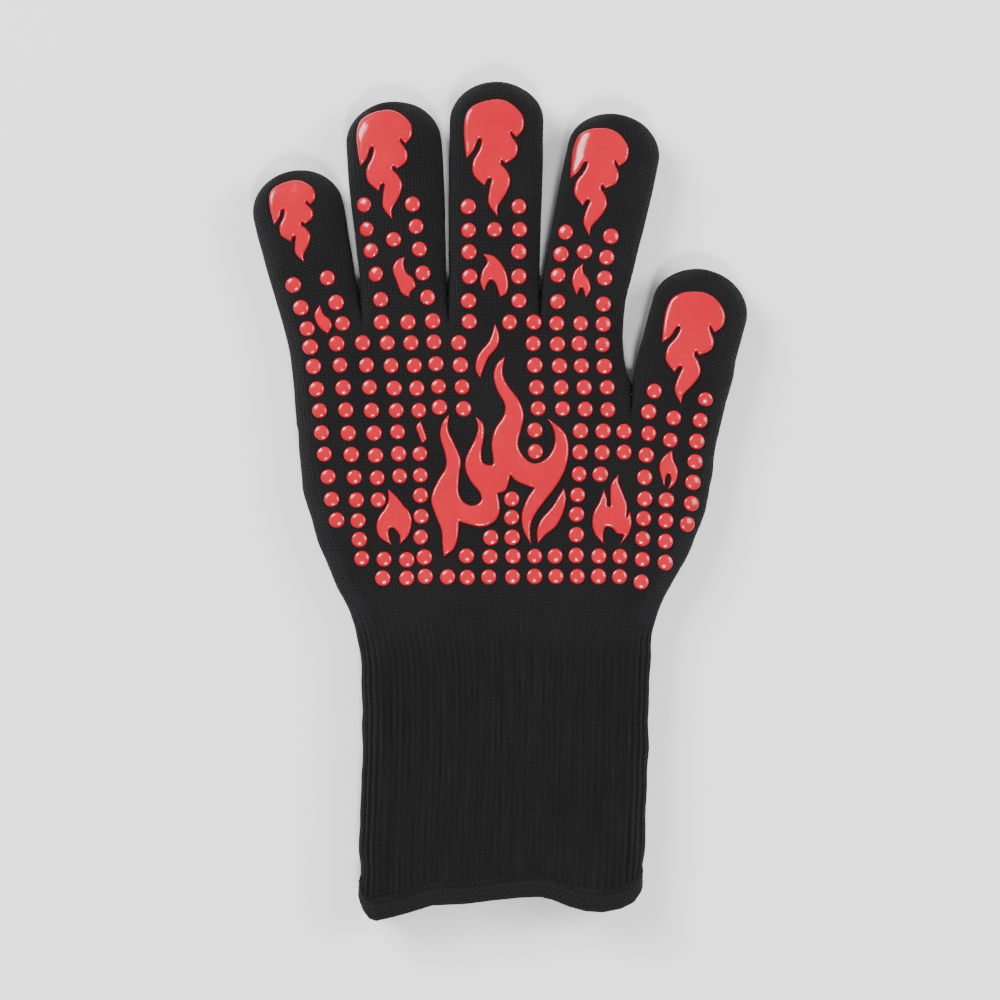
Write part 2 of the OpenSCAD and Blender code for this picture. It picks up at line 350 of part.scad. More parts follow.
module thumb_back_flame() color(red_c) stretch(THUMB, 0, 60) motif(DROP, DROP_AT[4], 0, knit_lo);

hand_shell();
hand_liner();
palm_grip_dots();
palm_flame_large();
palm_flames_small();
back_grip_dots();
back_flames();
cuff_shell();
cuff_liner();
cuff_hem();
finger_shell(0, 0);  // little_base_shell
finger_liner(0, 0);  // little_base_liner
finger_base_print(0);  // little_base_print
finger_shell(0, 1);  // little_mid_shell
finger_liner(0, 1);  // little_mid_liner
finger_mid_print(0);  // little_mid_print
finger_shell(0, 2);  // little_tip_shell
finger_liner(0, 2);  // little_tip_liner
finger_palm_flame(0);  // little_palm_flame
finger_back_flame(0);  // little_back_flame
finger_shell(1, 0);  // ring_base_shell
finger_liner(1, 0);  // ring_base_liner
finger_base_print(1);  // ring_base_print
finger_shell(1, 1);  // ring_mid_shell
finger_liner(1, 1);  // ring_mid_liner
finger_mid_print(1);  // ring_mid_print
finger_shell(1, 2);  // ring_tip_shell
finger_liner(1, 2);  // ring_tip_liner
finger_palm_flame(1);  // ring_palm_flame
finger_back_flame(1);  // ring_back_flame
finger_shell(2, 0);  // middle_base_shell
finger_liner(2, 0);  // middle_base_liner
finger_base_print(2);  // middle_base_print
finger_shell(2, 1);  // middle_mid_shell
finger_liner(2, 1);  // middle_mid_liner
finger_mid_print(2);  // middle_mid_print
finger_shell(2, 2);  // middle_tip_shell
finger_liner(2, 2);  // middle_tip_liner
finger_palm_flame(2);  // middle_palm_flame
finger_back_flame(2);  // middle_back_flame
finger_shell(3, 0);  // index_base_shell
finger_liner(3, 0);  // index_base_liner
finger_base_print(3);  // index_base_print
finger_shell(3, 1);  // index_mid_shell
finger_liner(3, 1);  // index_mid_liner
finger_mid_print(3);  // index_mid_print
finger_shell(3, 2);  // index_tip_shell
finger_liner(3, 2);  // index_tip_liner
finger_palm_flame(3);  // index_palm_flame
finger_back_flame(3);  // index_back_flame
thumb_base_shell();
thumb_base_liner();
thumb_base_print();
thumb_tip_shell();
thumb_tip_liner();
thumb_palm_flame();
thumb_back_flame();
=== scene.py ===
import bpy, math
import numpy as np
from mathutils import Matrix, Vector, geometry
from mathutils.bvhtree import BVHTree


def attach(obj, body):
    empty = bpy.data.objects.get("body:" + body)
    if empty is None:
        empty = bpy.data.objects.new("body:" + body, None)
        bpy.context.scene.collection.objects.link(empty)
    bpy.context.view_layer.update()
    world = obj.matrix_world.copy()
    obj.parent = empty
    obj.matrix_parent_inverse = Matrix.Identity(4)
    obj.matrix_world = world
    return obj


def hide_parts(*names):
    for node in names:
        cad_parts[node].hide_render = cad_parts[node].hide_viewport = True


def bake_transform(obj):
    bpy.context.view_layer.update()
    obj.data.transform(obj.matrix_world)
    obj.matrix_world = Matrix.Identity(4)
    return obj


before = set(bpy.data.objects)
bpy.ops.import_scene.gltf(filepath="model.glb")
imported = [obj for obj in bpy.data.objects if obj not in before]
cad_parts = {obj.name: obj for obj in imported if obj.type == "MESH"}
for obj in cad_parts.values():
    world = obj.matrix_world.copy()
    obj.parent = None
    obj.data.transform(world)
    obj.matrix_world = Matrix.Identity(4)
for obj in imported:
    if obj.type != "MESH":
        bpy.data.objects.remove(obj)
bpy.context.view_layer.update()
MM = 0.001

# ------------------------------------------------------------------ sizes, in millimetres, as in part.scad
FINGERS = [  # crease centre, lean, half width at the crease and further out, length, middle crease, tip crease
    (-73.4, 82.2, -12.3, 16.6, 18.3, 50.6, 17.5, 33.5),
    (-38.4, 84.6, -4.0, 17.1, 19.2, 75.1, 28.5, 51.5),
    (-2.5, 83.8, 1.0, 18.1, 18.9, 83.7, 27.7, 54.5),
    (33.5, 83.1, 12.0, 17.3, 18.7, 72.8, 26.8, 49.5)]
NAMES = ["little", "ring", "middle", "index"]
THUMB = (75.9, 61.3, 15.0, 19.3, 19.4, 31.7, 0.0, 0.0)
BACK_SHIFT = -5.7
CURL = [ [0, 0], [-6.5, -1.7], [-10.5, -5], [-11.8, -11], [-11.5, -18], [-10.8, -23.6, 1], [-8, -20.5], [-6.2,
    -16.2], [-4.8, -16.5], [-5.8, -20.5], [-8.2, -25], [-7.9, -30.5], [-3.5, -34.7, 1], [-2.5, -32.3], [-0.9,
    -32.2], [-1.8, -36.5], [-2, -42], [1.7, -47, 1], [1.7, -43], [5, -37.5], [6.6, -32.5], [5, -28.5], [3,
    -26.2], [3.2, -24.5], [4.7, -25.8, 1], [8.7, -23], [9.5, -19], [7.2, -15], [6.7, -13], [8.9, -15.3, 1],
    [11.7, -12], [11.6, -7], [8.3, -2.8], [4.5, -0.5]]
DROP = [ [0, 0], [-5, -1.2], [-8, -5.5], [-7.8, -10.5], [-5.3, -15.5], [-3.4, -19], [-3, -24, 1], [0.6,
    -21.5], [2.7, -18.5], [3.7, -14.5], [4.9, -14.2], [6.2, -17, 1], [9.2, -13.5], [10.2, -8.5], [8.6, -3.8],
    [5, -0.8]]
CURL_AT = [[-83.5, 126.8, -8, 0.78, 0.70], [-46.5, 155, -3, 0.93, 0.93], [-2.5, 159, 0, 1, 0.99], [41.6,
    147.6, 10, 0.92, 0.92], [79.3, 82.6, 11.5, 0.99, 0.96]]
DROP_AT = [[-80.6, 123.6, -11, 0.88, 0.88], [-41.4, 151.8, -3, 1, 0.97], [-0.6, 160.2, 0, 1.06, 0.93], [46,
    147, 11, 1.08, 0.98], [82.6, 82, 13, 1.2, 1.08]]
TONGUES = [ [[-71.5, 77.5, 1], [-73.6, 74], [-72.6, 70], [-70, 67], [-68.3, 66, 1], [-66.7, 69], [-67.6,
    71.7], [-70, 73.7]], [[-2, 70, 1], [-0.3, 65.5], [-1, 61], [-5, 56], [-7.8, 48.4, 1], [-9.7, 52], [-8.6,
    57.5], [-4.5, 62.7], [-3, 66.5]], [[-31.5, 31.5, 1], [-33.3, 29], [-32.3, 26], [-31, 22.5, 1], [-29.2,
    24], [-29.8, 27], [-30.6, 29]], [[-44.4, 4.3, 1], [-41, 1.3], [-38.3, -2.2], [-36, -4.7], [-35, -8.7],
    [-36.4, -14], [-39.8, -17.5, 1], [-39.7, -14.3], [-42, -11.2], [-44.1, -11.7], [-44, -15], [-43, -17.7,
    1], [-47.5, -15], [-49, -11], [-48.2, -7], [-45.5, -3], [-44.3, 0]], [[25.3, 4.7, 1], [23, 1], [20.5, -3],
    [16.5, -7.5], [14.7, -12], [15, -17.3, 1], [18, -13.8], [22, -10.5], [25, -5], [26.2, 0.5]], [[47, 10, 1],
    [44.2, 6.5], [43.8, 1.5], [43.9, -2.3], [42.6, -2.1], [42.3, 1], [41.2, 4, 1], [39.4, -0.7], [37.2, -5],
    [36.6, -9.5], [38, -14], [41.2, -17.3, 1], [41, -13.5], [42, -10.7], [44.7, -11.3], [46.5, -13.3], [49,
    -14], [47.6, -17.6, 1], [51, -13.5], [52.2, -9], [51.5, -4.5, 1], [50.2, -7], [50.4, -2], [48.6, 3], [47,
    7]]]
RING_TONGUE = [[-37.7, 96.5, 1], [-41, 95], [-42.5, 91.5], [-41, 86.8], [-39, 82], [-36, 80.5, 1], [-35.5,
    82.5], [-33.3, 84.5, 1], [-34.5, 88], [-37, 90], [-38.2, 93.5]]
MIDDLE_TONGUE = [[-6.7, 97.5, 1], [-5, 94.5], [-7, 91], [-7.8, 86.5], [-6.3, 82.8, 1], [-5, 86], [-3.5, 87.3],
    [-1.6, 85.7], [0, 80.5, 1], [2.5, 82], [3.3, 85.5], [2.5, 90], [0.3, 94], [-3, 97]]
INDEX_TONGUE = [[33, 93.8, 1], [29.7, 91], [28.6, 86.5], [30.5, 81.2, 1], [31.6, 83.8], [33, 83.8], [34, 80.3,
    1], [36, 83.5], [35, 87.5], [33, 90.5]]
THUMB_TONGUE = [[68.4, 19.7, 1], [65, 17.3], [63.2, 13], [65.2, 5.3, 1], [65.9, 9.5], [67.2, 10.3], [67.9, 8],
    [66.6, 4.2, 1], [69.5, 6.7], [70.6, 11.5], [68.8, 16]]
BLAZE = [ [1.9, 56.7, 1], [-1.2, 54], [-2.5, 49], [-0.8, 43], [1.9, 38], [1.5, 33.5], [-2, 28], [-3.3, 22],
    [-2.6, 15], [-4.2, 13.8], [-6.8, 15], [-7.4, 19], [-6.3, 26], [-6.8, 30.5], [-9.6, 32.8, 1], [-8.7, 28.5],
    [-10.2, 23.5], [-13.2, 17.5], [-13.7, 12.5], [-11.5, 7.3], [-8, 3], [-7.6, -0.3], [-10.8, -2.2], [-14.3,
    -0.9], [-16.4, 3], [-16.2, 10], [-15.6, 16], [-18.2, 22.5], [-20.6, 28], [-20.2, 34, 1], [-23, 30.3],
    [-23.7, 25], [-21.8, 18.5], [-21.5, 13], [-25, 7], [-27.3, 0.5], [-25.5, -6], [-23.2, -12], [-22.8, -18],
    [-22.3, -22.4, 1], [-18.7, -19.7], [-16.8, -15], [-16.3, -8.5, 1], [-12, -9.8], [-7, -10.7], [-2, -8.3],
    [0, -3.5], [-1, 2.7, 1], [2.3, 4], [4.2, 10, 1], [7, 7.2], [13.6, 4.7, 1], [10.8, 0.5], [8.7, -5.5], [9.3,
    -12], [12.4, -17.5, 1], [12, -12], [13.2, -6.8], [17, -1.2], [22, 5.2], [25.7, 12], [27.3, 20], [25.5,
    27], [18.9, 32.3, 1], [21.4, 27.5], [21.6, 22], [18.7, 16.7], [13.5, 14.5], [9.3, 17.3], [7.2, 22], [8.3,
    28], [9.4, 33.5], [7.5, 39.5], [3, 45.5], [1, 50.5]]
BACK_FLAMES = [ [[-47.6, 0, 1], [-49.2, -5], [-47.8, -12], [-43, -18], [-38.5, -22.5], [-35.4, -28.4, 1],
    [-34.3, -22], [-36.5, -14.5], [-41, -9], [-45, -4]], [[-18.2, 30, 1], [-26, 30.4], [-33.5, 28], [-39.5,
    23], [-43.2, 16.5], [-43.7, 9.5], [-41, 0.5], [-36, -8], [-30.5, -16], [-26.8, -22.5], [-26.1, -33.2, 1],
    [-19.3, -33.8, 1], [-17.7, -26], [-19, -18.5], [-23, -12], [-29, -6.3], [-33, -1.3], [-33.4, 2], [-31.8,
    3.2], [-28.5, -1], [-22.5, -5.7], [-14.7, -7.2], [-7, -5.3], [-1, -2], [3.4, 2.4, 1], [5, -4], [8.3,
    -12.2], [12.5, -17.4], [16.6, -18.8, 1], [11, -24.2], [7, -29.5], [7, -36.5, 1], [13.5, -37.6, 1], [16,
    -31], [22, -26.7], [27.5, -22.5], [30.8, -15.5], [30.4, -8.5], [27.7, -2.5], [26.8, 4], [31.6, 11, 1],
    [26.3, 11], [22.3, 8], [21.2, 1], [20.8, -7], [18.8, -11.8], [16, -12.2], [14.2, -9], [14.5, -3], [15.6,
    3.5], [13.3, 10], [10, 15.8], [9.2, 20.5], [12.3, 26], [16.5, 32], [18.5, 40], [18, 46.5], [15.5, 52, 1],
    [13.8, 45], [10.5, 38.5], [4, 34.2], [-2, 29.5], [-4.3, 22], [-2.8, 14], [-3.4, 6.5], [-7.5, 1.9], [-13.5,
    0.8], [-20, 2.3], [-26, 6.3], [-30, 12], [-30.2, 19], [-26, 25.3]], [[1.4, -9.9, 1], [4.2, -14.5], [5.5,
    -20.5], [3, -27.5], [-3, -31], [-9.3, -33.7, 1], [-5.8, -29], [-4.7, -24.2, 1], [-9, -27], [-13.9, -31.9,
    1], [-14.2, -26], [-11.5, -21.3], [-5, -18.2], [-1, -15]], [[50.3, 4.4, 1], [55.3, 1.5], [57.9, -5], [55,
    -13.5], [48.5, -18.8], [45.9, -23], [47, -30], [50, -38.1, 1], [41.8, -38.3, 1], [39.8, -32.7, 1], [37.5,
    -38.2, 1], [28.2, -37.9, 1], [32.5, -29], [34.3, -20.5], [38, -13], [44.5, -9.3], [49.7, -6], [51.2,
    -0.7]]]
DOTS_HAND = [ [-79, 76.3], [-65, 78.3], [-47.3, 79.5], [-28.7, 80.4], [-12.5, 79], [7.5, 79], [22.8, 78.7],
    [41, 77.6], [-76.5, 68], [-62.5, 70], [-47, 70.5], [-36.5, 70.5], [-26.7, 71], [-12.2, 70.8], [3.8, 70.5],
    [13.5, 70.5], [22.5, 70], [32, 70], [41, 69.7], [-75.3, 60.7], [-64.8, 62], [-54.5, 62.3], [-44.7, 62.3],
    [-35.3, 62.3], [-26.2, 62.7], [-16.4, 62.3], [13.2, 62], [22.8, 61.8], [31.4, 62], [40.7, 61.6], [-74,
    53], [-63.5, 53.5], [-53, 53.5], [-43.2, 53.3], [-34, 53.3], [-25.4, 54], [-15.7, 53.5], [13.8, 53.4],
    [23.6, 53.2], [32.3, 53.2], [41.4, 53], [-72.8, 44], [-62.2, 44.5], [-51.8, 44.7], [-42, 44.3], [-33,
    44.3], [-24.4, 45], [-15, 44.8], [14.5, 44.6], [24.2, 44.6], [33.4, 44.6], [42.5, 44.6], [-71.6, 35.5],
    [-61.2, 35.7], [-51, 35.5], [-41.2, 35.5], [-32.2, 35.5], [-24, 36.8], [-14.4, 36.2], [15.1, 36.3], [24.8,
    36.2], [33.8, 36], [42.8, 35.8], [-70.8, 26.7], [-60.2, 26.5], [-50, 26.5], [-40.6, 27], [13.8, 27.7],
    [31.9, 27.4], [40.9, 27.3], [49.2, 27.2], [-69.7, 18.2], [-59, 18], [-49.4, 17.7], [-40.2, 18.3], [-31.8,
    18.3], [14, 19.2], [31.7, 19], [40.6, 18.8], [49.2, 19], [-68.2, 9.2], [-57.8, 9], [-48.7, 8.8], [-39.8,
    9.5], [-31.6, 9.8], [31.4, 10.3], [39.8, 10.2], [-66.8, 0.3], [-57, 0], [-48.3, 0], [-31.5, 1.8], [4.6,
    0.4], [30.8, 2], [-64.8, -8], [-56.3, -8.2], [-31.3, -6.5], [4.6, -6.9], [30.4, -5.7], [-55.8, -15.7],
    [-31.5, -14.7], [-3.7, -14.9], [4.8, -14.8], [30.3, -13.8], [-54.8, -23.2], [-46, -23.5], [-37, -23.7],
    [-30, -22.7], [-13.3, -22.2], [-4, -22.5], [5.2, -22.3], [13.8, -22.3], [21.8, -22.3], [30.2, -22], [39.2,
    -22.3], [47.6, -22.4], [-46.5, -31], [-37, -31], [-29.7, -30.3], [-20.8, -30.5], [-13, -30.7], [-4.5,
    -30.5], [5, -30.5], [13.7, -30.3], [22.2, -30.3], [30.7, -30.3], [39.1, -30.3], [47.4, -30.4], [56,
    -32.5]]
DOTS_THUMB = [ [57.4, 9], [57.4, 0.4], [57, -7.4], [56.7, -15.4], [56.5, -23.6], [58, 17.8], [59, 26.4], [59,
    35], [61.2, 43.2], [68.9, 32.5], [81.5, 39.8], [79.4, 31.6], [67.6, 23.7], [78.1, 23.3], [77.4, 15.2],
    [76.6, 7], [76, -1.4], [74.4, -9.6], [66, 0], [65.8, -8.2], [65.6, -16.4], [65.6, -24.8]]
DOTS_BASE = [ [[-82, 85.3], [-68.5, 88.1]], [[-49.3, 89.6], [-30.6, 90], [-51.3, 99], [-32, 99.5], [-42.2,
    103.3], [-53, 107.5], [-33.3, 108.5]], [[-12, 88.6], [7.5, 88.7], [-12.3, 98.4], [7.5, 98.5], [-12.5,
    107], [-2.2, 107.2], [7.8, 107.3]], [[23, 89.2], [41.5, 88], [24.2, 97.6], [33.5, 98.5], [42.3, 96.2],
    [26, 106.3], [44, 104.6]]]
DOTS_MID = [[], [[-54, 117.2], [-34.7, 117.3]], [[-12.6, 116.4], [7.5, 116.4]], []]
COLUMNS = [ [[[-83, 95.5], [-73, 50], [-69.8, 14], [-62.5, -11.5], [-49.3, -29.6]], 17], [[[-73.9, 94],
    [-64.5, 48], [-62.3, 8.7]], 11], [[[-66.8, 101], [-56.4, 52.5], [-54.8, 20]], 11], [[[-48.7, 124.6], [-46,
    84], [-40.6, 35.3]], 12], [[[-39.2, 122.6], [-37, 84], [-32, 40.3]], 11], [[[-30.4, 128.9], [-28, 84],
    [-23, 36.3]], 12], [[[-9.5, 133], [-10, 84], [-9.5, 38]], 12], [[[-0.5, 129], [-1.5, 84], [-0.8, 43]],
    11], [[[8.5, 133], [8, 84], [8, 57]], 10], [[[31.5, 121], [25, 84], [24, 55], [23.6, 18.5]], 13], [[[40,
    115], [34.3, 84], [33.3, 60], [33, 15]], 13], [[[50, 118], [43.7, 84], [42, 62], [42.8, 40], [42.2, 11]],
    14], [[[49.4, 17], [49.4, 8.6]], 2], [[[69.3, 56], [62.6, 22], [61.5, -10], [60.4, -22]], 10], [[[58,
    -32.4], [56, -39.6]], 2], [[[77.3, 43.5], [71, 17.5], [70, -8], [67.5, -25.6]], 9], [[[86.6, 47.3], [79,
    13], [76.3, -12.7]], 8]]


def smooth(t):
    t = np.clip(t, 0.0, 1.0)
    return t * t * (3 - 2 * t)


def curve(points):
    """x as a smooth function of y through (y, x) points."""
    p = np.array(sorted(points), float)
    yy = np.arange(p[0, 0] - 12, p[-1, 0] + 12, 0.5)
    xx = np.interp(yy, p[:, 0], p[:, 1])
    lo = p[0, 1] + (p[1, 1] - p[0, 1]) / (p[1, 0] - p[0, 0]) * (yy - p[0, 0])
    hi = p[-1, 1] + (p[-1, 1] - p[-2, 1]) / (p[-1, 0] - p[-2, 0]) * (yy - p[-1, 0])
    xx = np.where(yy < p[0, 0], lo, np.where(yy > p[-1, 0], hi, xx))
    k = np.exp(-0.5 * (np.arange(-14, 15) / 5.0) ** 2)
    pad = np.pad(xx, 14, mode="reflect", reflect_type="odd")
    xs = np.convolve(pad, k / k.sum(), mode="valid")
    return lambda y: np.interp(y, yy, xs)


LEFT = curve([(-168, -56.0), (-158, -56.7), (-140, -56.6), (-122, -56), (-100, -55.2), (-80, -55), (-66, -55.6), (-57.8, -56.6), (-51, -58.5), (-42.5, -61.5),
              (-33, -66.5), (-20, -72), (-10, -75.3), (1, -78.5), (15, -80.6), (30, -81.5), (45, -82.6), (58, -84), (69, -86.6), (78.7, -89.6)])
RIGHT = curve([(-168, 56.6), (-153, 57.2), (-137, 58), (-118, 58.8), (-98, 59.3), (-78, 59.5), (-64, 60.2), (-57.8, 60.5), (-50, 61.9), (-43.5, 64), (-36, 67.5),
               (-29, 71.6), (-23.5, 74.8), (-16, 78), (-8.5, 81), (0, 83.6), (10, 85.2), (20, 86.6), (31, 88.6), (41, 91.2)])
CROTCH = [(-89.6, 78.7), (-56.2, 82.4), (-20.9, 82.8), (16.1, 83.0), (50.4, 79.4)]
TC = (52.7, 46.6)
TOUT = (90.0, 37.2)
INDEX_SIDE = curve([(40, 54.5), (46.6, 52.7), (50, 50.9), (55, 49.7), (64, 49.2), (73, 49.6), (79.4, 50.4)])
BETWEEN = [
    curve([(-58, -35.4), (0, -45.5), (40, -51), (82.4, -56.2)]),
    curve([(-58, -12.5), (0, -16), (40, -19), (82.8, -20.9)]),
    curve([(-58, 11.7), (0, 14), (40, 15.5), (83, 16.1)]),
    curve([(-58, 35.3), (-20, 44.5), (10, 49.5), (30, 51.8), (46.6, 52.7)])]
WRIST = -58.0
CUFF_TOP = -46.5
MOUTH = np.array([(-58, -154), (-56.4, -160), (-54.8, -164), (-52.6, -166.6), (-50, -167.2), (-42, -165.4), (-35, -163.4), (-27, -160.9), (-14, -160.3), (-2, -158.8),
                  (8, -157.8), (16, -157.5), (21, -158.7), (27, -161.2), (34, -163.2), (41, -163.7), (48, -162.3), (53.5, -160.2), (56.4, -157), (58, -153)], float)


def ymouth(x):
    return np.interp(x, MOUTH[:, 0], MOUTH[:, 1])


def half(f, v):
    return f[3] + (f[4] - f[3]) * np.minimum(1, np.maximum(0, v) / (0.55 * f[5]))


def along(f, x, y):
    a = math.radians(f[2])
    return (x - f[0]) * math.sin(a) + (y - f[1]) * math.cos(a)


def across(f, x, y):
    a = math.radians(f[2])
    return (x - f[0]) * math.cos(a) - (y - f[1]) * math.sin(a)


def place(f, u, v):
    a = math.radians(f[2])
    return np.stack([f[0] + u * math.cos(a) + v * math.sin(a), f[1] - u * math.sin(a) + v * math.cos(a)], -1)


def quarter(d, r):
    """Height of a rounded edge, 0 at the edge and 1 from r inwards."""
    t = np.clip(d / np.maximum(r, 1e-6), 0, 1)
    return np.sqrt(np.maximum(0, 1 - (1 - t) ** 2))


def ease(p, left, right, c=0.72):
    return p - c * left * p * (1 - p) ** 3 + c * right * (1 - p) * p ** 3


MID = 10.0


def lumps(x, y, side):
    """Soft unevenness of thick knit lying slack, in millimetres."""
    s = 1.7 * side
    return (0.16 * np.sin(x * 0.23 + y * 0.11 + 1.3 + s) * np.sin(y * 0.19 - x * 0.05 + 0.6)
            + 0.12 * np.sin(x * 0.41 - y * 0.17 + 2.1 + s) + 0.10 * np.sin(y * 0.37 + x * 0.13 + 0.3 - s)
            + 0.06 * np.sin(x * 0.9 + 0.7 * np.sin(y * 0.21)) * np.sin(y * 0.63 + s))


def folds(x, y, side):
    """Shallow creases where the cuff and the wrist have been pushed and bent."""
    f = -0.95 * np.exp(-((y + 149 + 2.5 * np.sin(x * 0.06 + 0.6)) / 4.5) ** 2) * (0.45 + 0.55 * np.sin(x * 0.045 + 1.0) ** 2)
    f += 0.45 * np.exp(-((y + 139 + 3.0 * np.sin(x * 0.05 + 1.4)) / 5.5) ** 2) * (0.4 + 0.6 * np.cos(x * 0.04) ** 2)
    f += -0.35 * np.exp(-((y + 55 + 3.5 * np.sin(x * 0.07 + 2.0)) / 5.0) ** 2)
    f += -0.30 * np.exp(-((y + 96 + 0.30 * x + 3.0 * np.sin(x * 0.08)) / 7.0) ** 2) * np.exp(-((x - 28) / 30) ** 2)
    f += -0.25 * np.exp(-((y + 118 - 0.25 * x) / 6.0) ** 2) * np.exp(-((x + 30) / 26) ** 2)
    return f * np.where(np.asarray(side) > 0, 1.0, 0.5)


# ------------------------------------------------------------------ the skin: wales run unbroken from the cuff to the fingertips
class Skin:
    """One closed knitted skin, as a structured grid: group k of wales runs up finger k, and group 4 up the thumb."""

    def __init__(self, per_rib, step, ribbed=1.0):
        self.ribbed = ribbed
        self.V, self.F, self.UV, self.part, self.key = [], [], [], [], {}
        self.n = 0
        self.info = []  # per vertex: group, v along its finger, distance to the nearest shared wale, rib phase
        ribs = [9, 9, 10, 10, 10]
        start = np.cumsum([0] + ribs)
        self.start = start
        Jt = int(round(104.6 / step))
        Jh = Jt + int(round(36.4 / step))
        Jc = int(round(101 / (step * 1.15)))
        cut = Jh - int(round(10.0 / step))
        for side in (1, -1):
            for k in range(5):
                nc = ribs[k] * per_rib
                p = np.linspace(0, 1, nc + 1)
                u = (start[k] + p * ribs[k]) * side
                rows, vv, tag = [], [], []
                # cuff
                for j in range(Jc):
                    t = j / Jc
                    rows.append(self.cuff_row(k, p, t, side))
                    vv.append(WRIST - 101 * (1 - t))
                    tag.append("cuff")
                top = Jh if k < 4 else Jt
                for j in range(top + 1):
                    rows.append(self.hand_row(k, p, j, Jt, Jh, side))
                    vv.append(WRIST + j * 104.6 / Jt)
                    y_row = WRIST + j * 104.6 / Jt
                    tag.append("cuff" if y_row < CUFF_TOP else "palm" if (k == 4 or j < cut) else NAMES[k] + "_root")
                f = FINGERS[k] if k < 4 else THUMB
                v0 = 0.0 if k < 4 else -19.8
                e = 0.86 * f[4]
                vc = f[5] - e
                body = np.arange(v0 + step, vc, step)
                tips = [vc + e * math.sin(math.radians(a)) for a in np.linspace(0, 84, max(7, int(22 / step)))]
                for v in list(body) + tips:
                    rows.append(self.finger_row(k, p, v, side))
                    vv.append((83 if k < 4 else 46.6) + v - v0)
                    if k < 4:
                        tag.append(NAMES[k] + ("_root" if v < f[6] / 2 else "_knuckle" if v < (f[6] + f[7]) / 2 else "_end"))
                    else:
                        tag.append("palm" if v < -14 else "thumb_end")
                ids = np.zeros((len(rows), nc + 1), int)
                for r, (pts, extra) in enumerate(rows):
                    for c in range(nc + 1):
                        ids[r, c] = self.vertex(pts[c], extra[c])
                pole = self.vertex(self.pole(k), (k, f[5], 30.0, 0.0, 0.0))
                for r in range(len(rows) - 1):
                    for c in range(nc):
                        q = [ids[r, c], ids[r, c + 1], ids[r + 1, c + 1], ids[r + 1, c]]
                        w = [(u[c], vv[r]), (u[c + 1], vv[r]), (u[c + 1], vv[r + 1]), (u[c], vv[r + 1])]
                        if side < 0:
                            q, w = q[::-1], w[::-1]
                        self.F.append(q)
                        self.UV.append(w)
                        self.part.append(tag[r])
                r = len(rows) - 1
                for c in range(nc):
                    q = [ids[r, c], ids[r, c + 1], pole]
                    w = [(u[c], vv[r]), (u[c + 1], vv[r]), ((u[c] + u[c + 1]) / 2, vv[r] + 1.5)]
                    if side < 0:
                        q, w = q[::-1], w[::-1]
                    self.F.append(q)
                    self.UV.append(w)
                    self.part.append(tag[r])
        self.V = np.array(self.V, float)
        self.info = np.array(self.info, float)
        self.relief()

    def vertex(self, p, extra):
        k = tuple(int(math.floor(float(c) * 100 + 0.3137)) for c in p)
        if k in self.key:
            return self.key[k]
        self.key[k] = self.n
        self.V.append([float(p[0]), float(p[1]), float(p[2])])
        self.info.append(extra)
        self.n += 1
        return self.n - 1

    def lift(self, x, y, s, side, h, crown):
        s = s if side > 0 else np.power(np.maximum(s, 0), 0.8)
        return MID + side * h * s * crown

    def cuff_row(self, k, p, t, side):
        b0, b1 = (LEFT if k == 0 else BETWEEN[k - 1]), (RIGHT if k == 4 else BETWEEN[k])
        pp = ease(p, float(k == 0), float(k == 4))
        xw = b0(WRIST) + (b1(WRIST) - b0(WRIST)) * pp
        xi = (xw - LEFT(WRIST)) / (RIGHT(WRIST) - LEFT(WRIST))
        xm = LEFT(-160) + (RIGHT(-160) - LEFT(-160)) * xi
        y = ymouth(xm) + 0.6 + (WRIST - ymouth(xm) - 0.6) * t
        lx, rx = LEFT(y), RIGHT(y)
        x = lx + (rx - lx) * xi
        s = quarter(x - lx, 9.0) * quarter(rx - x, 9.0)
        xi2 = 2 * xi - 1
        crown = 1 - 0.10 * xi2 ** 2
        h = 9.0 + 0.75 * smooth((-44 - y) / 30)
        z = self.lift(x, y, s, side, h, crown)
        ph = self.start[k] + p * (self.start[k + 1] - self.start[k])
        return np.stack([x, y, z], 1), [(5, y[i], 30.0, ph[i], s[i]) for i in range(len(p))]

    def hand_row(self, k, p, j, Jt, Jh, side):
        if j <= Jt:
            yn = WRIST + j * (TC[1] - WRIST) / Jt
            if k < 4:
                lo, hi = (LEFT(yn) if k == 0 else BETWEEN[k - 1](yn)), BETWEEN[k](yn)
                if k == 3 and j == Jt:
                    hi = TC[0]
                q4 = smooth((yn - (TC[1] - 20)) / 20) ** 1.3
                pp = ease(p, float(k == 0), q4 if k == 3 else 0.0)
                x = lo + (hi - lo) * pp
                y = np.full_like(x, yn)
            else:
                s_ = (yn - WRIST) / (TC[1] - WRIST)
                yo = WRIST + (TOUT[1] - WRIST) * s_
                q4 = smooth((yn - (TC[1] - 20)) / 20) ** 1.3
                pp = ease(p, q4, 1.0)
                a = np.array([BETWEEN[3](yn) if j < Jt else TC[0], yn])
                b = np.array([RIGHT(yo), yo])
                x = a[0] + (b[0] - a[0]) * pp
                y = a[1] + (b[1] - a[1]) * pp
                lo, hi = a[0], b[0]
        else:
            s_ = (j - Jt) / (Jh - Jt)
            c0, c1 = CROTCH[k], CROTCH[k + 1]
            q = smooth((s_ - 0.45) / 0.55) ** 1.6
            free_r = 1.0 if k == 3 else q
            pp = ease(p, 1.0 if k == 0 else q, free_r)
            y = TC[1] + (c0[1] + (c1[1] - c0[1]) * pp - TC[1]) * s_
            y0 = TC[1] + (c0[1] - TC[1]) * s_
            y1 = TC[1] + (c1[1] - TC[1]) * s_
            lo = (LEFT(y0) if k == 0 else BETWEEN[k - 1](y0))
            hi = (INDEX_SIDE(y1) if k == 3 else BETWEEN[k](y1))
            if j == Jh:
                lo, hi = c0[0], c1[0]
            x = lo + (hi - lo) * pp
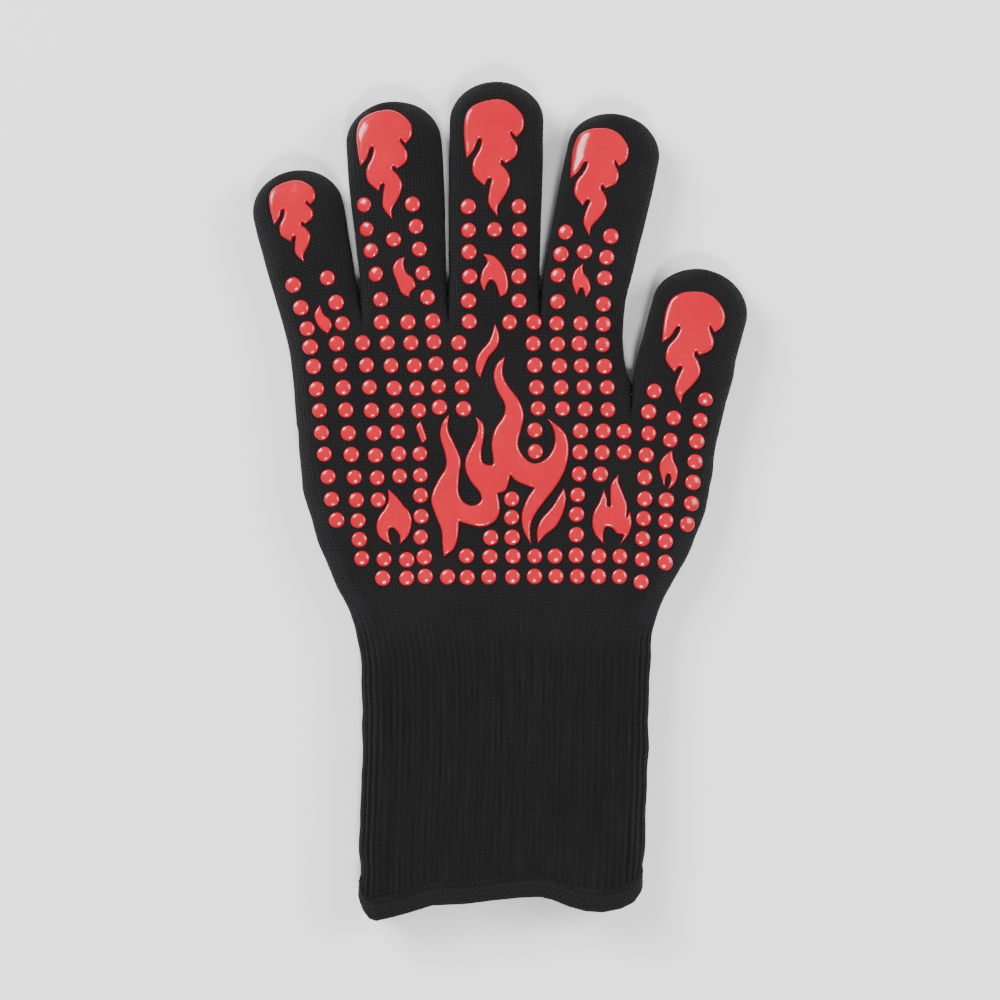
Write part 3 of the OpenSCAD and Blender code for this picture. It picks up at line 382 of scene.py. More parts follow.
        # rounded free edges
        if k == 4:
            yo = WRIST + (TOUT[1] - WRIST) * ((j / Jt))
            dr = np.hypot(x - RIGHT(yo), (y - yo))
            dl = np.full_like(x, 99.0)
        else:
            dr = np.full_like(x, 99.0)
            dl = x - LEFT(y)
        s = quarter(dl, 9.5) * quarter(dr, 9.5)
        vx = np.full_like(x, 99.0)
        # the valleys that lead to the crotches
        if j <= Jt:
            q = float(smooth(((WRIST + j * (TC[1] - WRIST) / Jt) - (TC[1] - 20)) / 20) ** 1.3)
            if k >= 3:
                d = np.abs(x - (BETWEEN[3](y) if j < Jt else TC[0]))
                s = s * (1 - q * (1 - quarter(d, 2.5 + 7.0 * q)))
                vx = d
            shared = np.full_like(x, 99.0)
        else:
            s_ = (j - Jt) / (Jh - Jt)
            q = float(smooth((s_ - 0.45) / 0.55) ** 1.6)
            shared = np.full_like(x, 99.0)
            if k > 0:
                d = x - x[0]
                s = s * (1 - q * (1 - quarter(d, 2.0 + 7.5 * q)))
                shared = np.minimum(shared, d)
            if k < 3:
                d = x[-1] - x
                s = s * (1 - q * (1 - quarter(d, 2.0 + 7.5 * q)))
                shared = np.minimum(shared, d)
            else:
                s = s * quarter(x[-1] - x, 9.5)
        yl = np.clip((x - LEFT(y)) / (RIGHT(np.minimum(y, 40)) - LEFT(y)), 0, 1) * 2 - 1
        crown = 1 - 0.09 * yl ** 2
        h = 9.0 + 0.75 * smooth((-44 - y) / 30)
        z = self.lift(x, y, s, side, h, crown)
        ph = self.start[k] + p * (self.start[k + 1] - self.start[k])
        return np.stack([x, y, z], 1), [(k, 0.0, shared[i], ph[i], s[i]) for i in range(len(p))]

    def finger_row(self, k, p, v, side):
        f = FINGERS[k] if k < 4 else THUMB
        e = 0.86 * f[4]
        vc = f[5] - e
        pp = ease(p, 1.0, 1.0)
        w = float(half(f, v))
        h = 9.0
        if v > vc:
            r = math.sqrt(max(0.0, 1 - ((v - vc) / e) ** 2))
            w = f[4] * r
            h = 9.0 * r ** 0.75
        if k < 4:
            a = place(f, np.array(-w), np.array(v))
            b = place(f, np.array(w), np.array(v))
            if v < 7:
                t = v / 7
                a = np.array(CROTCH[k]) * (1 - t) + place(f, np.array(-float(half(f, 7))), np.array(7.0)) * t
                b = np.array(CROTCH[k + 1]) * (1 - t) + place(f, np.array(float(half(f, 7))), np.array(7.0)) * t
            crown_v = 0.0
        else:
            if v < 0:
                t = (v + 19.8) / 19.8
                a = np.array([np.interp(t, [0, .25, .62, 1], [52.7, 53.4, 54.9, 57.3]), np.interp(t, [0, .25, .62, 1], [46.6, 51, 58.5, 66.3])])
                b = np.array([np.interp(t, [0, .3, .65, 1], [90.0, 91.6, 93.5, 94.5]), np.interp(t, [0, .3, .65, 1], [37.2, 42.5, 49.3, 56.3])])
            else:
                a = place(f, np.array(-w), np.array(v))
                b = place(f, np.array(w), np.array(v))
        width = float(np.hypot(*(b - a)))
        xy = a[None, :] + (b - a)[None, :] * pp[:, None]
        rr = min(9.5, width * 0.42)
        s = quarter(pp * width, rr) * quarter((1 - pp) * width, rr)
        crown = 1 - 0.06 * (2 * pp - 1) ** 2
        if k < 4 and v < 12:
            yl = np.clip((xy[:, 0] - LEFT(xy[:, 1])) / (RIGHT(np.minimum(xy[:, 1], 40)) - LEFT(xy[:, 1])), 0, 1) * 2 - 1
            t = float(smooth(v / 12))
            crown = crown * t + (1 - 0.09 * yl ** 2) * (1 - t)
        z = self.lift(xy[:, 0], xy[:, 1], s, side, h, crown)
        ph = self.start[k] + p * (self.start[k + 1] - self.start[k])
        pts = np.concatenate([xy, z[:, None]], 1)
        d = np.minimum(pp, 1 - pp) * width
        return pts, [(k, v, 30.0, ph[i], s[i]) for i in range(len(p))]

    def pole(self, k):
        f = FINGERS[k] if k < 4 else THUMB
        q = place(f, np.array(0.0), np.array(f[5]))
        return [q[0], q[1], MID]

    def normals(self):
        n = np.zeros_like(self.V)
        F4 = np.array([f if len(f) == 4 else f + [f[2]] for f in self.F])
        a, b, c, d = (self.V[F4[:, i]] for i in range(4))
        fn = np.cross(c - a, d - b)
        tri = np.array([len(f) == 3 for f in self.F])
        fn[tri] = np.cross(b - a, c - a)[tri]
        for i in range(4):
            if i == 3:
                np.add.at(n, F4[~tri, i], fn[~tri])
            else:
                np.add.at(n, F4[:, i], fn)
        return n / np.maximum(np.linalg.norm(n, axis=1, keepdims=True), 1e-12)

    def relief(self):
        """Ribs of the cuff, slack folds and the soft give of the knit, along the surface's own normal."""
        N = self.normals()
        x, y, z = self.V.T
        side = np.where(z >= MID, 1.0, -1.0)
        ph = self.info[:, 3]
        fade = 0.10 + 0.90 * smooth((-40 - y) / 22)
        near_mouth = smooth((y - ymouth(x) - 4) / 7)
        at = np.floor(ph + 0.5) + 0.37 * side
        uneven = 0.86 + 0.34 * np.sin(at * 2.4 + y * 0.047) * np.sin(at * 5.1 - y * 0.029)
        rib = 0.46 * (np.cos(2 * math.pi * ph)) * fade * (0.25 + 0.75 * near_mouth) * uneven * self.ribbed
        rib *= np.where(y > 40, 0.0, 1.0) + np.where(y > 40, 1.0, 0.0) * 0.4
        slack = 1.0 if self.ribbed else 0.35
        d = rib + (lumps(x, y, side) * 1.1 + folds(x, y, side)) * slack
        d -= 0.44
        edge = smooth(self.info[:, 4] / 0.35)
        d = np.where(y > 30, d * (0.3 + 0.7 * edge), d)
        # flat where it rests
        d = np.where((side < 0) & (self.info[:, 4] > 0.9), d * 0.45, d)
        self.V = self.V + N * d[:, None]


# ------------------------------------------------------------------ which joint bends what
CUTS = {}
for i, f in enumerate(FINGERS):
    CUTS[NAMES[i]] = (f[6] / 2, (f[6] + f[7]) / 2)


def spread_of(i, joint):
    """Half the length of cloth that a joint bends."""
    f, (c0, c1) = FINGERS[i], CUTS[NAMES[i]]
    if joint == 0:
        return min(9.0, c0 - 0.4)
    if joint == 1:
        return min(10.0, 0.88 * min(f[6] - c0, c1 - f[6]))
    return min(10.0, 0.88 * (f[7] - c1))


def weight(part, x, y, shared, v=None, group=None):
    """0 for the piece's first body, 1 for its second."""
    x, y, shared = np.asarray(x, float), np.asarray(y, float), np.asarray(shared, float)
    if part == "cuff":
        return smooth((-47.5 - y) / 20)
    if part == "thumb_end":
        v = along(THUMB, x, y)
        return smooth((v + 10) / 20)
    if part == "palm":
        w = smooth((x - 37) / (68.5 - 37))
        low = smooth((y + 45.5) / 29)
        high = 1 - smooth((y - 47) / 9)
        on_thumb = (np.asarray(group) == 4) if group is not None else (x > 52.7)
        vt = along(THUMB, x, y)
        up = smooth((vt + 20) / 5.5)
        w = np.where(on_thumb, np.where(y > 36, np.maximum(w, up * (y > 36)), w), w * high)
        return w * low
    name, kind = part.split("_")
    i = NAMES.index(name)
    f = FINGERS[i]
    v = along(f, x, y)
    if kind == "root":
        b = spread_of(i, 0)
        s = smooth((v + b) / (2 * b))
        d = np.minimum(shared, 30.0)
        e = smooth(np.where(v < 0, d, np.hypot(d, np.maximum(v, 0) * 1.25)) / 8.5)
        return s * e
    joint = 1 if kind == "knuckle" else 2
    b = spread_of(i, joint)
    vj = f[6] if joint == 1 else f[7]
    return smooth((v - vj + b) / (2 * b))


def blend_piece(obj):
    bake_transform(obj)
    return obj


def shared_distance(x, y, i):
    """How far a point near finger i's root is from the lines that it shares with its neighbours."""
    yy = np.minimum(y, 83)
    d = np.full_like(np.asarray(x, float), 99.0)
    if i > 0:
        d = np.minimum(d, np.maximum(x - BETWEEN[i - 1](yy), 0))
    if i < 3:
        d = np.minimum(d, np.maximum(BETWEEN[i](yy) - x, 0))
    return d


def locate(x, y):
    """The piece that a spot of the print belongs to."""
    if y < 30 and x < 50:
        return "palm"
    if x > 52.7 and y < 93 and along(THUMB, x, y) > -60 and y > -60:
        if abs(float(across(THUMB, x, y))) < 21 or y < 50:
            return "thumb_end" if along(THUMB, x, y) > -14 and y > 40 else "palm"
    best, bi = 1e9, 0
    if y < 83:
        bi = sum(1 for b in BETWEEN[:3] if x > b(y))
    else:
        for i, f in enumerate(FINGERS):
            u = abs(float(across(f, x, y)))
            if u < best:
                best, bi = u, i
    f = FINGERS[bi]
    v = float(along(f, x, y))
    if v < -9.5:
        return "palm"
    c0, c1 = CUTS[NAMES[bi]]
    return NAMES[bi] + ("_root" if v < c0 else "_knuckle" if v < c1 else "_end")


def make_mesh(name, verts, faces, uvs=None, material=None, normals=None):
    me = bpy.data.meshes.new(name)
    verts = np.asarray(verts, float)
    me.vertices.add(len(verts))
    me.vertices.foreach_set("co", (verts * MM).astype(np.float32).ravel())
    lens = np.array([len(f) for f in faces])
    me.loops.add(int(lens.sum()))
    me.loops.foreach_set("vertex_index", np.concatenate([np.asarray(f) for f in faces]).astype(np.int32))
    me.polygons.add(len(faces))
    me.polygons.foreach_set("loop_start", np.concatenate([[0], np.cumsum(lens)[:-1]]).astype(np.int32))
    me.polygons.foreach_set("use_smooth", np.ones(len(faces), bool))
    me.update(calc_edges=True)
    if uvs is not None:
        layer = me.uv_layers.new(name="knit")
        layer.data.foreach_set("uv", np.concatenate([np.asarray(u) for u in uvs]).astype(np.float32).ravel())
    me.validate(clean_customdata=False)
    me.update()
    if normals is not None:
        me.normals_split_custom_set_from_vertices([tuple(n) for n in normals])
    obj = bpy.data.objects.new(name, me)
    bpy.context.scene.collection.objects.link(obj)
    if material:
        me.materials.append(material)
    return obj


# ------------------------------------------------------------------ materials
class Nodes:
    def __init__(self, name, colour=(1, 1, 1)):
        self.m = bpy.data.materials.new(name)
        self.m.use_nodes = True
        self.t = self.m.node_tree
        self.t.nodes.clear()
        self.out = self.t.nodes.new("ShaderNodeOutputMaterial")
        self.bsdf = self.t.nodes.new("ShaderNodeBsdfPrincipled")
        self.t.links.new(self.bsdf.outputs[0], self.out.inputs[0])

    def add(self, kind, **props):
        n = self.t.nodes.new("ShaderNode" + kind)
        for k, v in props.items():
            setattr(n, k, v)
        return n

    def link(self, a, b):
        self.t.links.new(a, b)

    def math(self, op, a, b=None, clamp=False):
        n = self.add("Math", operation=op, use_clamp=clamp)
        for i, v in enumerate((a, b)):
            if v is None:
                continue
            if isinstance(v, (int, float)):
                n.inputs[i].default_value = v
            else:
                self.link(v, n.inputs[i])
        return n.outputs[0]

    def noise(self, scale, detail=2.0, rough=0.5, vector=None):
        n = self.add("TexNoise")
        n.inputs["Scale"].default_value = scale
        n.inputs["Detail"].default_value = detail
        n.inputs["Roughness"].default_value = rough
        self.link(vector if vector is not None else self.object(), n.inputs["Vector"])
        return n.outputs[0]

    def object(self):
        if not hasattr(self, "_obj"):
            self._obj = self.add("TexCoord").outputs["Object"]
        return self._obj

    def ramp(self, fac, a, b, lo=0.0, hi=1.0):
        n = self.add("ValToRGB")
        n.color_ramp.elements[0].position, n.color_ramp.elements[1].position = lo, hi
        n.color_ramp.elements[0].color, n.color_ramp.elements[1].color = (*a, 1), (*b, 1)
        self.link(fac, n.inputs[0])
        return n.outputs[0]


def knit_material(name, dark, light, wales_per_rib=2.0, course=1.45, depth=0.75, fuzz=0.10, sheen=0.05, rough=0.9, gloss=0.10):
    """Jersey knit: each wale is a column of V stitches, two legs that slope into its middle."""
    N = Nodes(name)
    uv = N.add("UVMap", uv_map="knit")
    sep = N.add("SeparateXYZ")
    N.link(uv.outputs[0], sep.inputs[0])
    wob = N.noise(90.0, 2.0)
    wob2 = N.noise(260.0, 1.0)
    u = N.math("ADD", N.math("MULTIPLY", sep.outputs[0], wales_per_rib), N.math("MULTIPLY", N.math("SUBTRACT", wob, 0.5), 0.35))
    v = N.math("ADD", N.math("MULTIPLY", sep.outputs[1], 1.0 / course), N.math("MULTIPLY", N.math("SUBTRACT", wob2, 0.5), 0.45))
    fu = N.math("SUBTRACT", N.math("FRACT", u), 0.5)
    leg = N.math("ABSOLUTE", fu)
    # 1 in the middle of a leg and 0 at the wale's edges and its middle groove
    across_leg = N.math("DIVIDE", N.math("ABSOLUTE", N.math("SUBTRACT", leg, 0.25)), 0.25)
    round_leg = N.math("SQRT", N.math("SUBTRACT", 1.0, N.math("MULTIPLY", across_leg, N.math("MULTIPLY", across_leg, 0.98)), clamp=True))
    phase = N.math("FRACT", N.math("SUBTRACT", v, N.math("MULTIPLY", leg, 1.5)))
    tri = N.math("ABSOLUTE", N.math("SUBTRACT", N.math("MULTIPLY", phase, 2.0), 1.0))
    bead = N.math("SUBTRACT", 1.0, N.math("MULTIPLY", tri, tri))
    stitch = N.math("MULTIPLY", round_leg, N.math("ADD", 0.35, N.math("MULTIPLY", bead, 0.65)))
    fibre = N.noise(3200.0, 2.0, 0.6)
    height = N.math("ADD", stitch, N.math("MULTIPLY", fibre, fuzz))
    bump = N.add("Bump")
    bump.inputs["Strength"].default_value = 1.0
    bump.inputs["Distance"].default_value = depth * MM
    N.link(height, bump.inputs["Height"])
    N.link(bump.outputs[0], N.bsdf.inputs["Normal"])
    patch = N.noise(38.0, 3.0, 0.6)
    # the base colour is lighter on the raised stitch legs and darker between them, a painted highlight and painted
    # shade; the patch and fibre noise add uneven tone at random
    fac = N.math("ADD", N.math("MULTIPLY", stitch, 0.62), N.math("ADD", N.math("MULTIPLY", patch, 0.42), N.math("MULTIPLY", fibre, 0.22)))
    # on the cuff the wales stand in ribs; painted shade darkens the grooves between them, and long streaks, darker and
    # lighter at random, run along the wales
    cuff = N.math("DIVIDE", N.math("SUBTRACT", -50.0, sep.outputs[1]), 14.0, clamp=True)
    groove = N.math("ADD", 0.5, N.math("MULTIPLY", N.math("COSINE", N.math("MULTIPLY", sep.outputs[0], 2 * math.pi)), -0.5))
    long = N.add("CombineXYZ")
    N.link(N.math("MULTIPLY", sep.outputs[0], 0.8), long.inputs[0])
    N.link(N.math("MULTIPLY", sep.outputs[1], 0.03), long.inputs[1])
    streak = N.noise(1.0, 1.0, 0.5, long.outputs[0])
    rib_groove_shade_and_streaks = N.math("SUBTRACT", 1.0, N.math("MULTIPLY", N.math("MULTIPLY", cuff, groove), 0.42))
    rib_groove_shade_and_streaks = N.math("ADD", rib_groove_shade_and_streaks, N.math("MULTIPLY", N.math("MULTIPLY", cuff, N.math("SUBTRACT", streak, 0.5)), 0.8))
    N.link(N.ramp(N.math("MULTIPLY", fac, rib_groove_shade_and_streaks), dark, light, 0.30, 1.0), N.bsdf.inputs["Base Color"])
    N.bsdf.inputs["Roughness"].default_value = rough
    N.bsdf.inputs["Specular IOR Level"].default_value = gloss
    N.bsdf.inputs["Sheen Weight"].default_value = sheen
    N.bsdf.inputs["Sheen Roughness"].default_value = 0.55
    N.bsdf.inputs["Sheen Tint"].default_value = (0.55, 0.57, 0.62, 1)
    return N.m


KNIT = knit_material("black_knit", (0.0007, 0.0007, 0.0008), (0.0112, 0.0107, 0.0112))
LINER = knit_material("charcoal_cotton", (0.02, 0.02, 0.021), (0.075, 0.075, 0.078), wales_per_rib=3.0, course=1.0, depth=0.25, fuzz=0.5, sheen=0.3, rough=0.97)
HEM = knit_material("overlocked_edge", (0.0008, 0.0008, 0.0009), (0.0125, 0.012, 0.0125), wales_per_rib=1.5, course=2.2, depth=0.5, fuzz=0.2)


def thread_material():
    N = Nodes("black_thread")
    w = N.add("TexWave", wave_type="BANDS", bands_direction="DIAGONAL")
    w.inputs["Scale"].default_value = 900.0
    w.inputs["Distortion"].default_value = 1.5
    N.link(N.object(), w.inputs["Vector"])
    bump = N.add("Bump")
    bump.inputs["Strength"].default_value = 0.8
    bump.inputs["Distance"].default_value = 0.12 * MM
    N.link(w.outputs[1], bump.inputs["Height"])
    N.link(bump.outputs[0], N.bsdf.inputs["Normal"])
    # the colour follows the same wave as the bump: lighter on the raised twist and darker between, a painted highlight
    # and painted shade
    N.link(N.ramp(w.outputs[1], (0.0012, 0.0012, 0.0013), (0.011, 0.0105, 0.011)), N.bsdf.inputs["Base Color"])
    N.bsdf.inputs["Roughness"].default_value = 0.8
    N.bsdf.inputs["Specular IOR Level"].default_value = 0.15
    return N.m


def silicone_material():
    N = Nodes("red_silicone")
    patch = N.noise(70.0, 2.0)
    fine = N.noise(620.0, 2.0, 0.6)
    fac = N.math("ADD", N.math("MULTIPLY", patch, 0.7), N.math("MULTIPLY", fine, 0.3))
    N.link(N.ramp(fac, (0.42, 0.0, 0.012), (0.50, 0.0005, 0.016), 0.3, 0.7), N.bsdf.inputs["Base Color"])
    N.link(N.ramp(fine, (0.13,) * 3, (0.22,) * 3, 0.3, 0.7), N.bsdf.inputs["Roughness"])
    b = N.add("Bump")
    b.inputs["Strength"].default_value = 0.3
    b.inputs["Distance"].default_value = 0.2 * MM
    N.link(N.math("ADD", N.noise(330.0, 1.0), N.math("MULTIPLY", fine, 0.25)), b.inputs["Height"])
    N.link(b.outputs[0], N.bsdf.inputs["Normal"])
    N.bsdf.inputs["Specular IOR Level"].default_value = 0.5
    return N.m


THREAD = thread_material()
RED = silicone_material()

# ------------------------------------------------------------------ the knitted shell, in pieces that each cross one joint
skin = Skin(5, 1.5)
Nrm = skin.normals()
part_of_face = np.array(skin.part)
SHELL_OF = {"cuff": "cuff_shell", "palm": "hand_shell", "thumb_end": "thumb_tip_shell"}
LINER_OF = {"cuff": "cuff_liner", "palm": "hand_liner", "thumb_end": "thumb_tip_liner"}
for nm in NAMES:
    for a, b in (("root", "base"), ("knuckle", "mid"), ("end", "tip")):
        SHELL_OF[nm + "_" + a] = nm + "_" + b + "_shell"
        LINER_OF[nm + "_" + a] = nm + "_" + b + "_liner"


def piece_from(sk, normals, part, name, material, offset=0.0, flip=False):
    sel = np.nonzero(np.array(sk.part) == part)[0]
    faces = [sk.F[i] for i in sel]
    uvs = [sk.UV[i] for i in sel]
    used = np.unique(np.concatenate([np.asarray(f) for f in faces]))
    back = -np.ones(len(sk.V), int)
    back[used] = np.arange(len(used))
    faces = [list(back[f]) for f in faces]
    # at the mouth the lining runs up behind the turned-in hem
    x, y = sk.V[used][:, 0], sk.V[used][:, 1]
    tuck = 1.1 * smooth((11 - (y - ymouth(x))) / 2.5) if flip else np.zeros(len(used))
    V = sk.V[used] + normals[used] * (offset + tuck)[:, None]
    nn = normals[used]
    if flip:
        faces, uvs, nn = [f[::-1] for f in faces], [u[::-1] for u in uvs], -nn
    obj = make_mesh(name, V, faces, uvs, material, nn)
    rest = sk.V[used]
    if part.endswith("_root"):
        i = NAMES.index(part.split("_")[0])
        sh = shared_distance(rest[:, 0], rest[:, 1], i)
    else:
        sh = np.full(len(used), 99.0)
    blend_piece(obj)
    return obj


PARTS = ["cuff", "palm", "thumb_end"] + [nm + s for nm in NAMES for s in ("_root", "_knuckle", "_end")]
for part in PARTS:
    o = piece_from(skin, Nrm, part, part + "_knit", KNIT)
    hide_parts(SHELL_OF[part])
    if part == "palm":
        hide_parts("thumb_base_shell")

inner = Skin(2, 3.0, ribbed=0.0)
Nin = inner.normals()
for part in PARTS:
    o = piece_from(inner, Nin, part, part + "_lining", LINER, offset=-3.3, flip=True)
    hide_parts(LINER_OF[part])
    if part == "palm":
        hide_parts("thumb_base_liner")


# ------------------------------------------------------------------ the silicone print, laid on the skin
TREE = BVHTree.FromPolygons([tuple(v) for v in skin.V], [tuple(f) for f in skin.F])


def on_skin(x, y, side):
    hit, n, _, _ = TREE.ray_cast(Vector((x, y, 60.0 * side)), Vector((0, 0, -side)))
    if hit is None:
        return None
    return np.array(hit), np.array(n)


def surface(xy, side):
    """Height and normal of the skin at each point; a point off its edge takes the nearest one's."""
    P, Q, ok = np.zeros((len(xy), 3)), np.zeros((len(xy), 3)), np.zeros(len(xy), bool)
    for i, (x, y) in enumerate(xy):
        h = on_skin(float(x), float(y), side)
        if h is None:
            hit, n, _, _ = TREE.find_nearest(Vector((float(x), float(y), MID + 4.0 * side)))
            P[i], Q[i] = np.array(hit), np.array(n)
        else:
            P[i], Q[i], ok[i] = h[0], h[1], True
    return P, Q, ok


rng = np.random.default_rng(7)
PRINT = {}  # (part, kind) -> [verts, faces, weights]


def put(part, kind, verts, faces, w):
    g = PRINT.setdefault((part, kind), [[], [], [], 0])
    g[0].append(verts)
    g[1] += [[i + g[3] for i in f] for f in faces]
    g[2].append(w)
    g[3] += len(verts)


def spot_weight(part, x, y):
    if part.endswith("_root"):
        i = NAMES.index(part.split("_")[0])
        sh = shared_distance(np.array([x]), np.array([y]), i)
    else:
        sh = np.array([99.0])
    group = np.array([4.0 if x > 52.7 else 0.0])
    return float(weight(part, np.array([x]), np.array([y]), sh, group=group)[0])


RINGS = [(1.0, -0.35), (1.0, 0.08), (0.96, 0.30), (0.86, 0.52), (0.70, 0.72), (0.48, 0.88), (0.24, 0.97)]


def dot(x, y, d, side, tall, kind):
    h = on_skin(x, y, side)
    if h is None:
        return
    p, n = h
    n = n * 0.75 + np.array([0, 0, side * 0.25])
    n /= np.linalg.norm(n)
    a = np.cross(n, [0, 1.0, 0])
    a /= np.linalg.norm(a)
    b = np.cross(n, a)
    seg = 20
    r0 = d / 2
    tall = tall * (1 + rng.uniform(-0.06, 0.06))
    r0 = r0 * (1 + rng.uniform(-0.035, 0.025))
    wob, ph = rng.uniform(0.0, 0.02), rng.uniform(0, 6.28)
    verts, faces = [], []
    for rr, hh in RINGS:
        for k in range(seg):
            t = 2 * math.pi * k / seg
            q = r0 * rr * (1 + wob * math.cos(2 * t + ph))
            verts.append(p + (a * math.cos(t) + b * math.sin(t)) * q + n * (hh * tall))
    verts.append(p + n * tall)
    for j in range(len(RINGS) - 1):
        for k in range(seg):
            k2 = (k + 1) % seg
            f = [j * seg + k, j * seg + k2, (j + 1) * seg + k2, (j + 1) * seg + k]
            faces.append(f)
    j = len(RINGS) - 1
    for k in range(seg):
        faces.append([j * seg + k, j * seg + (k + 1) % seg, len(verts) - 1])
    verts = np.array(verts)
    c = verts.mean(0)
    f0 = faces[0]
    nn = np.cross(verts[f0[1]] - verts[f0[0]], verts[f0[2]] - verts[f0[1]])
    if np.dot(nn, verts[f0[0]] - p) < 0:
        faces = [f[::-1] for f in faces]
    part = locate(x, y)
    w = np.full(len(verts), spot_weight(part, x, y))
    if part == "palm":  # at the wide, gentle fold at the thumb's root each vertex of a dot gets its own weight
        w = weight(part, verts[:, 0], verts[:, 1], np.full(len(verts), 99.0), group=np.where(verts[:, 0] > 52.7, 4.0, 0.0))
    put(part, kind, verts, faces, w)


def flame(p, n=4):
    m, out = len(p), []
    for i in range(m):
        a, b, c, e = p[i - 1], p[i], p[(i + 1) % m], p[(i + 2) % m]
        B, C = np.array(b[:2], float), np.array(c[:2], float)
        s = np.zeros(2) if len(b) > 2 else (C - np.array(a[:2], float)) / 2
        t = np.zeros(2) if len(c) > 2 else (np.array(e[:2], float) - B) / 2
        for k in range(n):
            u = k / n
            out.append((1 + 2 * u) * (1 - u) ** 2 * B + u * (1 - u) ** 2 * s + u * u * (3 - 2 * u) * C - u * u * (1 - u) * t)
    return np.array(out)


def resample(p, step):
    q = np.vstack([p, p[:1]])
    d = np.concatenate([[0], np.cumsum(np.linalg.norm(np.diff(q, axis=0), axis=1))])
    n = max(12, int(d[-1] / step))
    # keep the true points, so that sharp tips stay sharp, and add between them where they are far apart
    out = []
    for i in range(len(p)):
        l = d[i + 1] - d[i]
        if l < 0.12:
            continue
        k = max(1, int(math.ceil(l / step)))
        for j in range(k):
            out.append(q[i] + (q[i + 1] - q[i]) * j / k)
    return np.array(out)


def edge_distance(P, L):
    a, b = L, np.roll(L, -1, axis=0)
    ab = b - a
    ll = (ab ** 2).sum(1)
    best = np.full(len(P), 1e9)
    for i in range(0, len(P), 2000):
        q = P[i:i + 2000]
        t = np.clip(((q[:, None] - a[None]) * ab[None]).sum(2) / ll[None], 0, 1)
        d = np.linalg.norm(q[:, None] - (a[None] + t[..., None] * ab[None]), axis=2).min(1)
        best[i:i + 2000] = d
    return best


def inside(P, L):
    x, y = P[:, 0], P[:, 1]
    r = np.zeros(len(P), bool)
    for (x0, y0), (x1, y1) in zip(L, np.roll(L, -1, axis=0)):
        if y0 == y1:
            continue
        c = ((y0 > y) != (y1 > y)) & (x < (x1 - x0) * (y - y0) / (y1 - y0) + x0)
        r ^= c
    return r


def print_flame(outline, side, kind, tall=0.95, soft=1.15):
    L = resample(outline, 0.75)
    area = 0.5 * np.sum(L[:, 0] * np.roll(L[:, 1], -1) - np.roll(L[:, 0], -1) * L[:, 1])
    if area < 0:
        L = L[::-1]
    n = len(L)
    t = np.roll(L, -1, axis=0) - np.roll(L, 1, axis=0)
    t /= np.maximum(np.linalg.norm(t, axis=1, keepdims=True), 1e-9)
    nrm = np.stack([-t[:, 1], t[:, 0]], 1)
    extra = []
    for d in (0.14, 0.42, 0.85, 1.4):
        q = L + nrm * d
        ok = inside(q, L) & (edge_distance(q, L) > 0.93 * d)
        extra.append(q[ok])
    lo, hi = L.min(0), L.max(0)
    g = np.stack(np.meshgrid(np.arange(lo[0], hi[0], 1.5), np.arange(lo[1], hi[1], 1.5)), -1).reshape(-1, 2)
    g[:, 0] += 0.31 * np.sin(g[:, 1] * 7.0)
    ok = inside(g, L)
    g = g[ok]
    if len(g):
        g = g[edge_distance(g, L) > 2.0]
    extra.append(g)
    P = np.vstack([L] + extra)
    vs, _, fs, _, _, _ = geometry.delaunay_2d_cdt([Vector(p) for p in P], [], [list(range(n))], 1, 1e-4)
    V2 = np.array([tuple(v) for v in vs])
    d = edge_distance(V2, L)
    d[d < 1e-3] = 0
    prof = np.sqrt(np.maximum(0, 1 - (1 - np.clip(d / soft, 0, 1)) ** 2))
    S, N3, ok = surface(V2, side)
    up = N3 * 0.5 + np.array([0, 0, 0.5 * side])
    up /= np.linalg.norm(up, axis=1, keepdims=True)
    V3 = S + up * (tall * prof - 0.02 * (d > 0) )[:, None]
    # a skirt that reaches into the knit closes the rim
    faces = []
    for f in fs:
        a, b, c = (V2[i] for i in f)
        ccw = (b[0] - a[0]) * (c[1] - a[1]) - (b[1] - a[1]) * (c[0] - a[0]) > 0
        f = list(f)
        if ccw != (side > 0):
            f = f[::-1]
        faces.append(f)
    cnt = {}
    for f in faces:
        for i in range(3):
            cnt[(f[i], f[(i + 1) % 3])] = 1
    rim = [(a, b) for a, b in cnt if (b, a) not in cnt]
    ids = sorted({i for e in rim for i in e})
    m = {v: len(V3) + k for k, v in enumerate(ids)}
    V3[ids] = V3[ids] + up[ids] * 0.12
    skirt = V3[ids] - up[ids] * 0.6
    V3 = np.vstack([V3, skirt])
    V2 = np.vstack([V2, V2[ids]])
    for a, b in rim:
        faces.append([b, a, m[a], m[b]])
    # share it among the pieces of skin that it lies on
    cen = np.array([V2[f[:3]].mean(0) for f in faces])
    owner = [locate(float(c[0]), float(c[1])) for c in cen]
    for part in sorted(set(owner)):
        fsel = [f for f, o in zip(faces, owner) if o == part]
        used = sorted({i for f in fsel for i in f})
        mm = {v: k for k, v in enumerate(used)}
        w = np.array([spot_weight(part, float(V2[i][0]), float(V2[i][1])) for i in used])
        put(part, kind, V3[used], [[mm[i] for i in f] for f in fsel], w)


def motif(points, at, n=4):
    L = flame(points, n) * np.array([at[3], at[4]])
    a = math.radians(at[2])
    return np.stack([at[0] + L[:, 0] * math.cos(a) + L[:, 1] * math.sin(a), at[1] - L[:, 0] * math.sin(a) + L[:, 1] * math.cos(a)], 1)


for at in CURL_AT:
    print_flame(motif(CURL, at), 1, "palm_flame")
for at in DROP_AT:
    print_flame(motif(DROP, at), -1, "back_flame", tall=0.8)
for t in TONGUES + [RING_TONGUE, MIDDLE_TONGUE, INDEX_TONGUE, THUMB_TONGUE]:
    print_flame(flame(t), 1, "palm_flame", soft=0.95)
print_flame(flame(BLAZE), 1, "palm_flame")
for t in BACK_FLAMES:
    print_flame(flame(t) + np.array([BACK_SHIFT, 0]), -1, "back_flame", tall=0.8)
for p in DOTS_HAND + DOTS_THUMB + [q for g in DOTS_BASE + DOTS_MID for q in g]:
    dot(p[0], p[1], 6.15, 1, 1.0, "palm_dots")


